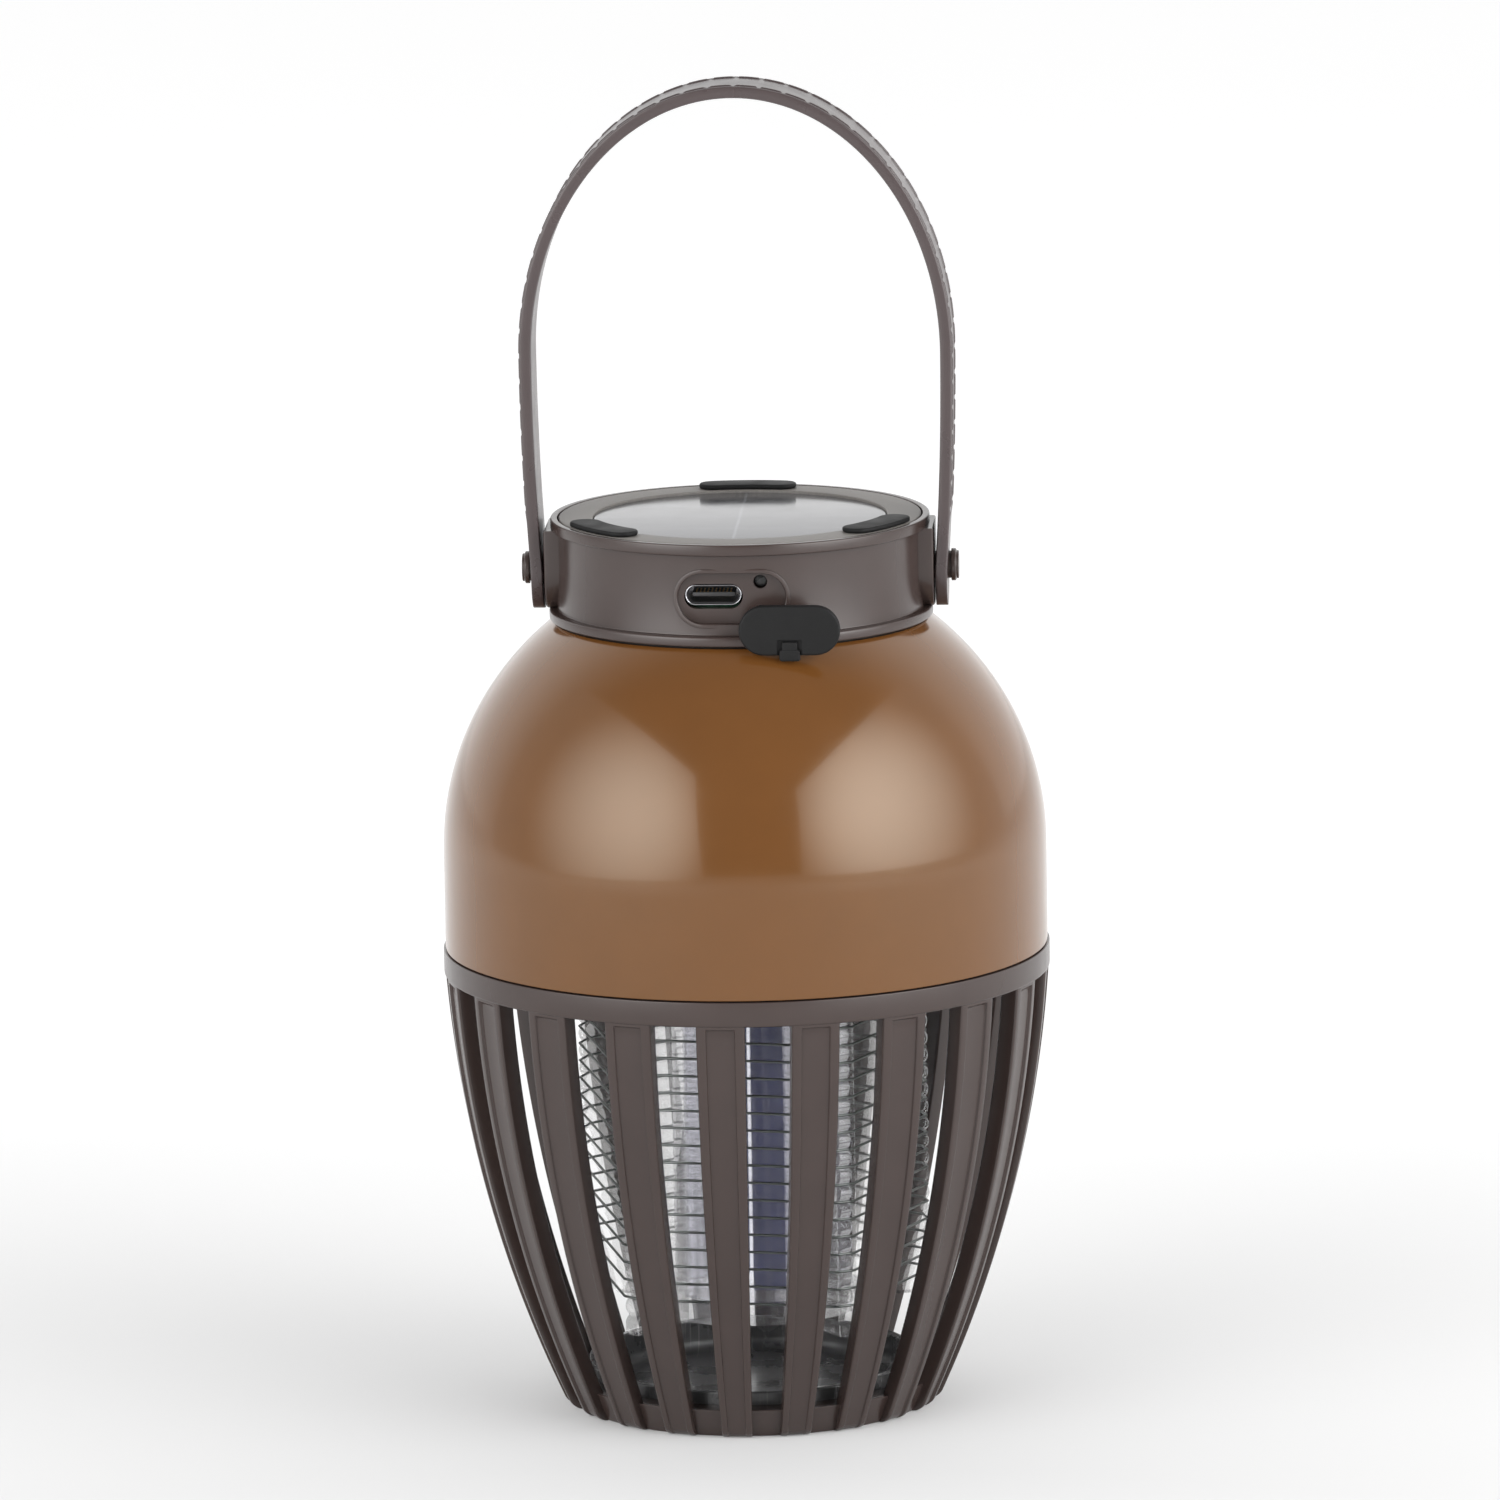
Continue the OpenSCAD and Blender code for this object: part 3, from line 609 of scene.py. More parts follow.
RECIPES = {
    "dome": lambda s: moulded(s, (0.115, 0.045, 0.011, 1.0), 0.15, 0.03, 0.5, 0.0012,
                              Coat_Weight=0.3, Coat_Roughness=0.05, Specular_Tint=(1.0, 0.9, 0.72, 1.0)),
    "taupe": lambda s: moulded(s, (0.04, 0.027, 0.024, 1.0), 0.24, 0.05, 0.3, 0.003),
    "strap": lambda s: moulded(s, (0.055, 0.041, 0.041, 1.0), 0.3, 0.05, 0.4, 0.005),
    "bezel": lambda s: sandblasted(s, srgb(112, 108, 104), 0.5),
    "panel": lambda s: panel_cells(s, srgb(62, 63, 68)),
    "rubber": lambda s: moulded(s, (0.0065, 0.0065, 0.0067, 1.0), 0.6, 0.12, 0.25, 0.012,
                                Specular_IOR_Level=0.22),
    "tray": lambda s: scratched(s, (0.05, 0.05, 0.051, 1.0), 0.26),
    "clear": lambda s: clear(s, (1.0, 1.0, 1.0, 1.0), 0.025, 0.94, 0.32),
    "violet_clear": lambda s: clear(s, (0.88, 0.88, 0.97, 1.0), 0.04, 0.9, 0.5),
    "wire": lambda s: metal(s, srgb(120, 124, 122), 0.32),
    "steel": lambda s: metal(s, srgb(170, 170, 172), 0.3),
    "shell": lambda s: metal(s, srgb(176, 176, 180), 0.2),
    "brass": lambda s: metal(s, srgb(205, 168, 92), 0.3),
    "board": lambda s: moulded(s, srgb(22, 84, 54), 0.3, 0.1, 0.5, 0.01),
    "led_board": lambda s: moulded(s, (0.026, 0.031, 0.1, 1.0), 0.35, 0.12, 1.2, 0.006),
    "led": lambda s: moulded(s, srgb(226, 222, 240), 0.15, 0.03, 0.4, 0.002, Coat_Weight=0.5),
    "cell": lambda s: moulded(s, srgb(60, 108, 160), 0.28, 0.05, 0.6, 0.006),
    "black_plastic": lambda s: moulded(s, srgb(36, 36, 37), 0.42, 0.1, 0.4, 0.01),
    "ferrite": lambda s: moulded(s, srgb(52, 52, 54), 0.7, 0.15, 0.15, 0.02),
    "winding": lambda s: moulded(s, srgb(196, 160, 58), 0.3, 0.08, 0.8, 0.02),
    "capacitor": lambda s: moulded(s, srgb(160, 74, 34), 0.25, 0.08, 1.5, 0.03),
    "sleeve": lambda s: moulded(s, srgb(30, 40, 66), 0.3, 0.06, 0.7, 0.01),
    "lead_red": lambda s: moulded(s, srgb(172, 44, 36), 0.4, 0.05, 0.3, 0.004),
    "lead_black": lambda s: moulded(s, srgb(28, 28, 29), 0.4, 0.08, 0.3, 0.004),
    "light_pipe": lambda s: clear(s, (0.06, 0.06, 0.06, 1.0), 0.3, 0.3),
}
_made = {}


def material_for(slot):
    """Material of a slot, made once."""
    if slot not in _made:
        _made[slot] = RECIPES[slot](slot)
    return _made[slot]


def dress_frame():
    """Every CAD node takes the procedural material of its slot."""
    for name, node in frame["nodes"].items():
        node.data.materials.clear()
        node.data.materials.append(material_for(SLOT_OF[name]))


# ---------------------------------------------------------------- dome and grille


def dome_arc(top_z, steps, shrink=0.0):
    """Points up the dome from its belly, closer together towards the top."""
    points = []
    for k in range(steps + 1):
        z = DOME_BELLY_Z + (top_z - DOME_BELLY_Z) * math.sin(math.pi / 2 * k / steps)
        points.append((dome_at(z, shrink), z))
    return points


def dome_piece():
    """Hollow dome, open below, with a hole in its top for the leads."""
    rim = 0.08
    hollow_top = DOME_TOP_Z - DOME_WALL
    outline = [(DOME_R, DOME_LOW_Z + rim), (DOME_R, DOME_BELLY_Z - 6)] + dome_arc(DOME_TOP_Z, 72)
    outline += [(CABLE_HOLE_R, DOME_TOP_Z), (CABLE_HOLE_R, hollow_top)]
    outline += reversed(dome_arc(hollow_top, 30, DOME_WALL))
    outline += [(DOME_R - DOME_WALL, DOME_LOW_Z), (DOME_R - rim, DOME_LOW_Z)]
    make("dome_shell", lathe(outline, 256))


def band_piece():
    """Band under the dome with the spigot that enters it, and the tabs that its screws pass through."""
    outline = fillet([
        (SPIGOT_R - SPIGOT_WALL, BAND_LOW_Z), (BAND_R, BAND_LOW_Z, 0.4), (BAND_R, SEAM_Z, 0.12),
        (SPIGOT_R, SEAM_Z, 0), (SPIGOT_R, SPIGOT_TOP_Z), (SPIGOT_R - SPIGOT_WALL, SPIGOT_TOP_Z),
    ], 0.3)
    near, far = BOSS_RING_R - 3, SPIGOT_R - 1
    tab = fillet([(-TAB_HALF, near), (TAB_HALF, near), (TAB_HALF, far), (-TAB_HALF, far)], 1.5)
    tab = [(x, -y) for x, y in reversed(tab)]
    tabs = [turned(prism(tab, DECK_Z - TAB_H, DECK_Z, 0.25, along_z), a) for a in BOSS_ANGLES]
    make("grille_band", lathe(outline, 256), *tabs)


def slat_section(z):
    """One slat's outline at a height, as (share of its half angle, depth behind the outer face)."""
    half = slat_at(z) * math.radians(SLAT_ANGLE / 2)
    channel = SLAT_CHANNEL * min(max((BAND_LOW_Z - 0.35 - z) / 0.35, 0.0), 1.0)
    lip = half * SLAT_LIP_SHARE
    points = [
        (-half, SLAT_DEPTH, 0.5), (-half, 0.0, 0.35), (-lip, 0.0, 0.16), (-lip + 0.12, channel, 0.12),
        (lip - 0.12, channel, 0.12), (lip, 0.0, 0.16), (half, 0.0, 0.35), (half, SLAT_DEPTH, 0.5),
    ]
    rounded = []
    for i, (_, _, radius) in enumerate(points):
        here, back, ahead, reach = corner_arms(points, i)
        rounded += corner_curve(here, back, ahead, min(radius, 0.45 * reach), (0.0, 0.33, 0.67, 1.0))
    return [(x / half, depth) for x, depth in rounded]


def slat_shape():
    """A curved slat with a shallow channel, rounded edges and a rounded foot."""
    levels = [SLAT_FOOT_R * (1 - math.cos(math.radians(15 * k))) for k in range(7)]
    levels += list(np.linspace(SLAT_FOOT_R, BAND_LOW_Z - 0.8, 56)[1:])
    levels += [BAND_LOW_Z - 0.6, BAND_LOW_Z - 0.35, BAND_LOW_Z + 0.2]
    loops = []
    for z in levels:
        above = max(SLAT_FOOT_R - z, 0.0)
        lift = SLAT_FOOT_R - math.sqrt(SLAT_FOOT_R**2 - above**2)
        loop = []
        for share, depth in slat_section(z):
            back = depth + lift * (1 - depth / SLAT_DEPTH)
            loop.append(polar(slat_at(min(z, BAND_LOW_Z)) - back, share * SLAT_ANGLE / 2, z))
        loops.append(loop)
    return loft(loops)


def grille_pieces():
    """Slats round the axis, and the ring that they stand on."""
    slat = slat_shape()
    slats = [turned(slat, GRILLE_TURN + 360.0 * i / SLAT_COUNT) for i in range(SLAT_COUNT)]
    make("grille_slats", *slats, sharp=40)
    seat_r = TRAY_FLANGE_R + 0.1
    rise = [(slat_at(z) - BASE_STEP, z, 0) for z in np.linspace(0.5, BASE_H - 0.5, 5)]
    outline = fillet([
        (seat_r, 0.0), (slat_at(0) - BASE_STEP, 0.0), *rise, (slat_at(BASE_H) - BASE_STEP, BASE_H, 0.7),
        (BASE_BORE_R, BASE_H, 0.4), (BASE_BORE_R, BASE_RECESS_H, 0.1), (seat_r, BASE_RECESS_H, 0.1),
    ], 0.3)
    make("base_ring", lathe(outline, 240))


def tray_piece():
    """Dish with a flat flange, two finger notches, and a rounded inner corner."""
    notch_x = TRAY_FLANGE_R - TRAY_NOTCH
    inner_r = TRAY_R - TRAY_WALL

    def notched(r, z, angle):
        side = abs(math.sin(math.radians(angle)))
        front = abs(math.cos(math.radians(angle)))
        beside = side > 0.9 and TRAY_FLANGE_R * front < TRAY_NOTCH_HALF
        return min(r, notch_x / side) if beside else r

    outline = fillet([
        (0, 0, 0), (TRAY_FLANGE_R, 0), (TRAY_FLANGE_R, TRAY_FLANGE_H), (TRAY_R, TRAY_FLANGE_H, 0.1),
        (TRAY_R, TRAY_H, 0.35), (inner_r, TRAY_H, 0.35), (inner_r, TRAY_WALL, 2.2), (0, TRAY_WALL, 0),
    ], 0.25, steps=5)
    make("insect_tray", lathe(outline, 240, notched), body="insect_tray")


# ---------------------------------------------------------------- grid and lamp


def rib_angle(i):
    """Angle of a rib round the axis."""
    return GRILLE_TURN + 360.0 * (i + 0.5) / RIB_COUNT


def rib_shape(i):
    """A clear rib whose outer edge is a row of round teeth with a wire between each pair."""
    top_row = WIRE_TOP_Z - WIRE_PITCH * 2 * i / RIB_COUNT
    levels = [FOOT_Z, FOOT_Z + 0.25, FOOT_Z + 0.7, FOOT_Z + 1.3]
    levels += list(np.arange(FOOT_Z + 1.6, FLANGE_Z + 0.5, WIRE_PITCH / 9))
    loops = []
    for z in levels:
        phase = ((top_row - z) / WIRE_PITCH) % 1.0
        tooth = math.sin(math.pi * phase) ** 0.6
        if z < FOOT_TOP_Z:
            tooth = 1.0
        ease = max(0.0, 1 - (z - FOOT_Z) / 0.7) * 0.35
        edge_r = RIB_R - ease - (NOTCH_DEPTH + 0.12) * (1 - tooth)
        half = RIB_W / 2 - ease
        crown = half - 0.3 * (1 - tooth)
        root_r = RIB_R - NOTCH_DEPTH - 0.9
        corners = fillet([
            (RIB_INNER_R, -half, 0.2), (root_r, -half, 0), (edge_r, -crown, TOOTH_R),
            (edge_r, crown, TOOTH_R), (root_r, half, 0), (RIB_INNER_R, half, 0.2),
        ], 0.2, steps=3)
        loops.append([(y, -x, z) for x, y in corners])
    return turned(loft(loops), rib_angle(i))


def former_piece():
    """Clear cage: ribs between a disc at the foot and a flange at the top."""
    disc = fillet(half_disc(FOOT_DISC_R, FOOT_Z + 0.4, FOOT_TOP_Z), 0.4)
    bore_r = TUBE_R + 0.1
    rim_r = RIB_R + 1
    flange = fillet([(bore_r, FLANGE_Z), (rim_r, FLANGE_Z), (rim_r, DECK_Z), (bore_r, DECK_Z)], 0.3)
    ribs = [rib_shape(i) for i in range(RIB_COUNT)]
    make("grid_former", *ribs, lathe(disc, 120), lathe(flange, 160), sharp=50)


def terminal_angle(s):
    """Angle of a wire's post; s is 0 for the positive wire and 1 for the negative one."""
    return rib_angle(0) - 9 - 11 * s


def wire_path(s):
    """Line of a grid wire: from its post round the ribs, bent over each one."""
    bend = RIB_W / 2 + 0.35
    slope = WIRE_PITCH / (RIB_COUNT * RIB_R * math.sin(math.pi / RIB_COUNT))
    start = np.array(polar(TERMINAL_RING_R, terminal_angle(s), DECK_Z - 5))
    start += polar(TERMINAL_R + WIRE_D / 2, terminal_angle(s))
    path = [tuple(start)]
    for k in range(int(RIB_COUNT * (WIRE_ROWS - 1) / 2) + 1):
        a = rib_angle(k)
        mid = np.array(polar(WIRE_R, a, WIRE_TOP_Z - WIRE_PITCH * (s + 2 * k / RIB_COUNT)))
        along = np.array([math.cos(math.radians(a)), math.sin(math.radians(a)), -slope])
        for side in (-1.0, -0.5, 0.5, 1.0):
            path.append(tuple(mid + side * bend * along))
    return path


def wire_pieces():
    """Two wires that alternate down the cage, one for each pole."""
    for s, node in enumerate(("grid_wire_positive", "grid_wire_negative")):
        make(node, tube(wire_path(s), WIRE_D / 2, 10), sharp=60)


def lamp_pieces():
    """Light tube, and two boards in it whose inner faces carry the lamps."""
    inner_r = TUBE_R - TUBE_WALL
    wall = fillet([(inner_r, FOOT_TOP_Z), (TUBE_R, FOOT_TOP_Z), (TUBE_R, DECK_Z), (inner_r, DECK_Z)], 0.25)
    make("light_tube", lathe(wall, 144))
    board = fillet([(0.6, 0), (6.0, 0), (6.0, LED_BOARD_H), (0.6, LED_BOARD_H)], 0.4)
    sheet = shifted(prism(board, LED_BOARD_Y - 1.2, LED_BOARD_Y, 0.12, along_y), (0, 0, FOOT_TOP_Z + 1))
    make("uv_led_boards", *[turned(sheet, a) for a in (0, 180)])
    packages = []
    for i in range(LED_COUNT):
        z = LED_LOW_Z + i * LED_PITCH
        body = fillet([(1.9, z), (4.7, z), (4.7, z + LED_H), (1.9, z + LED_H)], 0.2)
        packages.append(prism(body, LED_BOARD_Y, LED_BOARD_Y + 0.5, 0.1, along_y))
        lens = [(3.3 + x, z + LED_H / 2 + y) for x, y in circle(LENS_R, 24)]
        packages.append(prism(lens, LED_BOARD_Y + 0.4, LED_BOARD_Y + 0.8, 0.28, along_y))
    make("uv_leds", *[turned(p, a) for a in (0, 180) for p in packages])


# ---------------------------------------------------------------- collar


def collar_piece():
    """Neck of the lantern, with its lip, flange, lugs, and the holes for the port and the button."""
    inner_r = COLLAR_R - COLLAR_WALL
    floor_top = COLLAR_Z + COLLAR_WALL
    outline = fillet([
        (CABLE_HOLE_R, COLLAR_Z, 0.1), (FLANGE_R, COLLAR_Z, 0.3), (FLANGE_R, COLLAR_Z + FLANGE_H, 0.45),
        (COLLAR_R, COLLAR_Z + FLANGE_H, 0.2), (COLLAR_R, LIP_Z - LIP_H, 0.15), (LIP_R, LIP_Z - LIP_H, 0.3),
        (LIP_R, LIP_Z, 0.3), (BEZEL_R + 0.2, LIP_Z, 0.2), (BEZEL_R + 0.2, BEZEL_SEAT_Z, 0.05),
        (inner_r, BEZEL_SEAT_Z, 0.1), (inner_r, floor_top, 0.5), (CABLE_HOLE_R, floor_top, 0.1),
    ], 0.2)
    obj = raw_object("fine_collar_housing", [lathe(outline, 256)])
    half = PORT_BLOCK_HALF
    low = floor_top - 1
    block = [(-half, low), (half, low), (half, PORT_BLOCK_TOP_Z), (-half, PORT_BLOCK_TOP_Z)]
    carve(obj, "UNION", prism(block, PORT_FLOOR_Y - 0.1, PORT_BACK_Y, 0.05, along_y))
    pocket = [(x, z + PORT_Z) for x, z in stadium(PORT_W, PORT_H, 20)]
    slot_hole = [(x + USB_X, z + USB_Z - 0.25) for x, z in stadium(USB_W + 0.3, USB_H + 0.7)]
    led_hole = [(x + LED_X, z + LED_Z) for x, z in circle(LIGHT_PIPE_R + 0.05)]
    root_hole = [(x + ROOT_X, z + ROOT_Z) for x, z in circle(STALK_R + 0.05)]
    button_hole = [(x, z + BUTTON_Z) for x, z in circle(BUTTON_R + 0.08, 64)]
    carve(
        obj, "DIFFERENCE",
        prism(pocket, -40, PORT_FLOOR_Y, 0.05, along_y),
        prism(slot_hole, -30, -20, 0.05, along_y),
        prism(led_hole, -30, -20, 0.05, along_y),
        prism(root_hole, -30, -20, 0.05, along_y),
        prism(button_hole, 20, 40, 0.05, along_y),
    )
    join(obj, raw_object("extras", [lug_shape(-1), lug_shape(1), port_bead()]))
    finish_piece(obj, ["collar_housing"], HOUSING)


def join(target, other):
    """Adds another object's mesh to the target's, and removes the other object."""
    work = bmesh.new()
    work.from_mesh(target.data)
    work.from_mesh(other.data)
    work.to_mesh(target.data)
    work.free()
    bpy.data.objects.remove(other)


def lug_shape(s):
    """Flat lug under the lip that one end of the handle bears on."""
    half = STRAP_W / 2
    top = LIP_Z - LIP_H + 0.3
    arc = [(half * math.cos(t), PIVOT_Z + half * math.sin(t)) for t in np.linspace(math.pi, 2 * math.pi, 24)]
    outline = arc + [(half, top), (-half, top)]
    return prism(outline, LUG_X - 5, LUG_X, 0.35, lambda u, v, w: (s * w, u, v))


def port_bead():
    """Thin raised bead round the pocket's mouth, lying on the collar's wall."""
    path = []
    for x, z in stadium(PORT_W + 0.5, PORT_H + 0.5, 28):
        path.append((x, -math.sqrt((COLLAR_R - 0.08) ** 2 - x * x), z + PORT_Z))
    ring = fillet([(-0.34, -0.4), (0.34, -0.4), (0.34, 0.34), (-0.34, 0.34)], 0.16, steps=3)
    loops = []
    for j, p in enumerate(path):
        p = np.array(p)
        t = np.array(path[(j + 1) % len(path)]) - np.array(path[j - 1])
        t /= np.linalg.norm(t)
        out = np.array([p[0], p[1], 0.0])
        out /= np.linalg.norm(out)
        side = np.cross(t, out)
        loops.append([tuple(p + u * side + v * out) for u, v in ring])
    return loft(loops, wrap=True)


def usb_loops(levels):
    """Loops of the receptacle's outline, one for each (y, inset)."""
    outline = stadium(USB_W, USB_H, 18)
    return [[(x + USB_X, y, z + USB_Z) for x, z in inset(outline, depth)] for y, depth in levels]


def bar(half_w, half_h):
    """Anticlockwise rectangle, centred."""
    return [(-half_w, -half_h), (half_w, -half_h), (half_w, half_h), (-half_w, half_h)]


def usb_shell():
    """Drawn shell of the receptacle, with a rounded mouth."""
    mouth, back, wall = USB_MOUTH_Y, USB_BACK_Y, USB_SHELL
    return loft(usb_loops([
        (back, 0.0), (mouth + 0.12, 0.0), (mouth + 0.03, 0.05), (mouth, 0.13), (mouth, wall - 0.1),
        (mouth + 0.05, wall - 0.02), (mouth + 0.15, wall), (back - 0.8, wall),
    ]))


def usb_tongue_piece():
    """Black tongue of the receptacle, and a black sleeve inside its shell that is painted shade for the dark
    inside of the socket.
    """
    outline = [(x + USB_X, z + USB_Z) for x, z in fillet(bar(3.35, 0.35), 0.12)]
    front, back = USB_MOUTH_Y + 0.5, USB_BACK_Y - 0.9
    # Black sleeve just inside the shell, from near the mouth to near the back: painted shade that keeps the
    # inside of the socket dark.
    outer, inner = USB_SHELL + 0.02, USB_SHELL + 0.14
    painted_shade_sleeve = loft(usb_loops([(front, outer), (back, outer), (back, inner), (front, inner)]), wrap=True)
    tongue = prism(outline, USB_MOUTH_Y + 0.7, USB_BACK_Y - 0.5, 0.1, along_y)
    core = raw_object("usb_tongue", [tongue, painted_shade_sleeve])
    dress(core, "black_plastic", HOUSING)


def usb_contacts_piece():
    """Row of contacts on both faces of the tongue."""
    contacts = []
    for i in range(CONTACT_COUNT):
        middle = USB_X + (i - (CONTACT_COUNT - 1) / 2) * CONTACT_PITCH
        pad = [(middle + x, USB_Z + z) for x, z in bar(0.13, 0.38)]
        contacts.append(prism(pad, USB_MOUTH_Y + 0.9, USB_MOUTH_Y + 4.5, 0.02, along_y, 1))
    pads = raw_object("usb_contacts", contacts)
    pads.data.materials.append(material_for("brass"))
    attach(pads, HOUSING)


def port_pieces():
    """USB-C receptacle, and the light pipe beside it."""
    make("usb_socket", usb_shell())
    usb_tongue_piece()
    usb_contacts_piece()
    lens = [(x + LED_X, z + LED_Z) for x, z in circle(LIGHT_PIPE_R)]
    make("charge_light_pipe", prism(lens, PORT_FLOOR_Y + 1.4, LIGHT_PIPE_END_Y, 0.3, along_y))


def cover_point(u, v, w):
    """Place of a point of the closed cover, turned half a turn about its stalk."""
    return (2 * ROOT_X - u, w, 2 * ROOT_Z - v)


def cover_patch(half_w, low, high, radius):
    """Rounded rectangle on the cover's face, between two heights over the port's middle."""
    low += PORT_Z
    high += PORT_Z
    return fillet([(-half_w, low), (half_w, low), (half_w, high), (-half_w, high)], radius)


def cover_piece():
    """Rubber cover: a plate with a tab in a recess, a plug on its back, and a stalk with a bulb."""
    plate = [(x, z + PORT_Z) for x, z in stadium(COVER_W, COVER_H, 22)]
    front_y = COVER_BACK_Y - COVER_T
    plug = [(x + USB_X, z + USB_Z) for x, z in stadium(8.1, 2.3)]
    tab = cover_patch(1.65, 3.0, 4.9, 0.5)
    neck = cover_patch(1.25, 1.8, 4.0, 0.3)
    recess = cover_patch(2.0, 1.4, 6.0, 0.4)
    stalk = [(x + ROOT_X, z + ROOT_Z) for x, z in circle(STALK_R, 28)]
    bulb = [(x + ROOT_X, z + ROOT_Z) for x, z in circle(BULB_R, 28)]
    obj = raw_object("fine_port_cover", [prism(plate, front_y, COVER_BACK_Y, 0.4, cover_point, 5)])
    carve(obj, "DIFFERENCE", prism(recess, front_y - 1, front_y + 0.55, 0.1, cover_point, 2))
    more = raw_object("extras", [
        prism(plug, COVER_BACK_Y - 0.3, COVER_BACK_Y + PLUG_H, 0.2, cover_point, 4),
        prism(tab, front_y + 0.02, COVER_BACK_Y - 0.6, 0.25, cover_point),
        prism(neck, front_y + 0.12, COVER_BACK_Y - 0.7, 0.2, cover_point),
        prism(stalk, COVER_BACK_Y - 0.3, PORT_BACK_Y + 0.2, 0.1, along_y),
        prism(bulb, PORT_BACK_Y + 0.1, PORT_BACK_Y + 1.0, 0.3, along_y),
    ])
    join(obj, more)
    finish_piece(obj, ["port_cover"], "port_cover", sharp=40)


def top_pieces():
    """Bezel ring in the lip, the panel in the ring, and the pads on it."""
    low = PANEL_LOW_Z - 1.2
    ring = fillet([
        (BEZEL_BORE_R, low), (BEZEL_SKIRT_R, low), (BEZEL_SKIRT_R, BEZEL_SEAT_Z, 0.05),
        (BEZEL_R, BEZEL_SEAT_Z, 0.05), (BEZEL_R, LIP_Z, 0.35), (PANEL_R + 0.1, LIP_Z, 0.25),
        (PANEL_R + 0.1, PANEL_LOW_Z, 0.05), (BEZEL_BORE_R, PANEL_LOW_Z, 0.1),
    ], 0.15)
    make("bezel_ring", lathe(ring, 240))
    centre = [(0, PANEL_LOW_Z, 0), (PANEL_R, PANEL_LOW_Z), (PANEL_R, PANEL_TOP_Z, 0.2), (0, PANEL_TOP_Z, 0)]
    disc = fillet(centre, 0.1)
    make("solar_panel", lathe(disc, 200))
    make("foot_pads", *[turned(pad_shape(), a) for a in PAD_ANGLES])


def pad_shape():
    """Kidney-shaped pad on the bezel, with soft rims."""
    mid_r = PAD_RING_R
    half = math.radians(PAD_HALF)
    r = PAD_W / 2
    outline = []
    for t in np.linspace(-half, half, 18):
        outline.append(((mid_r + r) * math.sin(t), -(mid_r + r) * math.cos(t)))
    for end, start in ((half, -math.pi / 2), (-half, math.pi / 2)):
        centre = np.array([mid_r * math.sin(end), -mid_r * math.cos(end)])
        for t in np.linspace(start, start + math.pi, 14)[1:-1]:
            outline.append(tuple(centre + r * np.array([math.cos(t + end), math.sin(t + end)])))
        if end > 0:
            for t in np.linspace(half, -half, 18):
                outline.append(((mid_r - r) * math.sin(t), -(mid_r - r) * math.cos(t)))
    return prism(outline, LIP_Z, LIP_Z + PAD_H, 0.3, along_z, 4)


def button_piece():
    """Round button with a dished face and a flange that keeps it in the collar."""
    face_y = BUTTON_FACE_Y
    flange_y = BUTTON_BACK_Y + 0.7
    outline = fillet([
        (0, BUTTON_BACK_Y, 0), (BUTTON_R + 0.5, BUTTON_BACK_Y), (BUTTON_R + 0.5, flange_y),
        (BUTTON_R, flange_y, 0.1), (BUTTON_R, face_y, 0.5), (BUTTON_R - 1.0, face_y, 0.3),
        (BUTTON_R - 1.6, face_y - 0.35, 0.4), (0, face_y - 0.5, 0),
    ], 0.2)
    verts, faces = lathe(outline, 72)
    make("power_button", ([(x, z, BUTTON_Z + y) for x, y, z in verts], faces), body="power_button")


# ---------------------------------------------------------------- handle


def leg_x(z):
    """How far out the strap's outer face is at a height below its belly."""
    return STRAP_BELLY_X - (STRAP_BELLY_Z - max(z, PIVOT_Z)) ** 2 / (2 * LEG_ARC_R)


def strap_line(step=0.34):
    """Points of the strap's outer face from the right end over the top to the left, evenly spaced."""
    low = PIVOT_Z - STRAP_W / 2
    rise = HANDLE_TOP_Z - STRAP_BELLY_Z
    right = [(leg_x(z), z) for z in np.linspace(low, STRAP_BELLY_Z, 200)]
    top = [(STRAP_BELLY_X * math.cos(t), STRAP_BELLY_Z + rise * math.sin(t))
           for t in np.linspace(0, math.pi, 1200)[1:-1]]
    line = np.array(right + top + [(-x, z) for x, z in reversed(right)])
    length = np.concatenate([[0], np.cumsum(np.linalg.norm(np.diff(line, axis=0), axis=1))])
    total = length[-1]
    ends = [0.03, 0.12, 0.3, 0.55, 0.9]
    inner = list(np.linspace(1.3, total - 1.3, int(total / step)))
    spots = np.array([0.0] + ends + inner + [total - e for e in reversed(ends)] + [total])
    points = np.stack([np.interp(spots, length, line[:, i]) for i in (0, 1)], 1)
    tangent = np.gradient(points, spots, axis=0)
    tangent /= np.linalg.norm(tangent, axis=1)[:, None]
    return points, tangent, spots


def stitch_relief(y, s, fade):
    """Height of the strap's outer face under its top, at a place across and along."""
    across = abs(y)
    border = 0.05 * math.exp(-(((across - BORDER_Y) / 0.1) ** 4))
    phase = (s / STITCH_PITCH) % 1.0
    ends = min(max(min(phase - 0.05, 0.95 - phase) / 0.06, 0.0), 1.0)
    thread = STITCH_H * max(1 - ((across - STITCH_Y) / 0.4) ** 4, 0.0) ** 0.5 * ends
    return STRAP_FACE + fade * (border + thread)


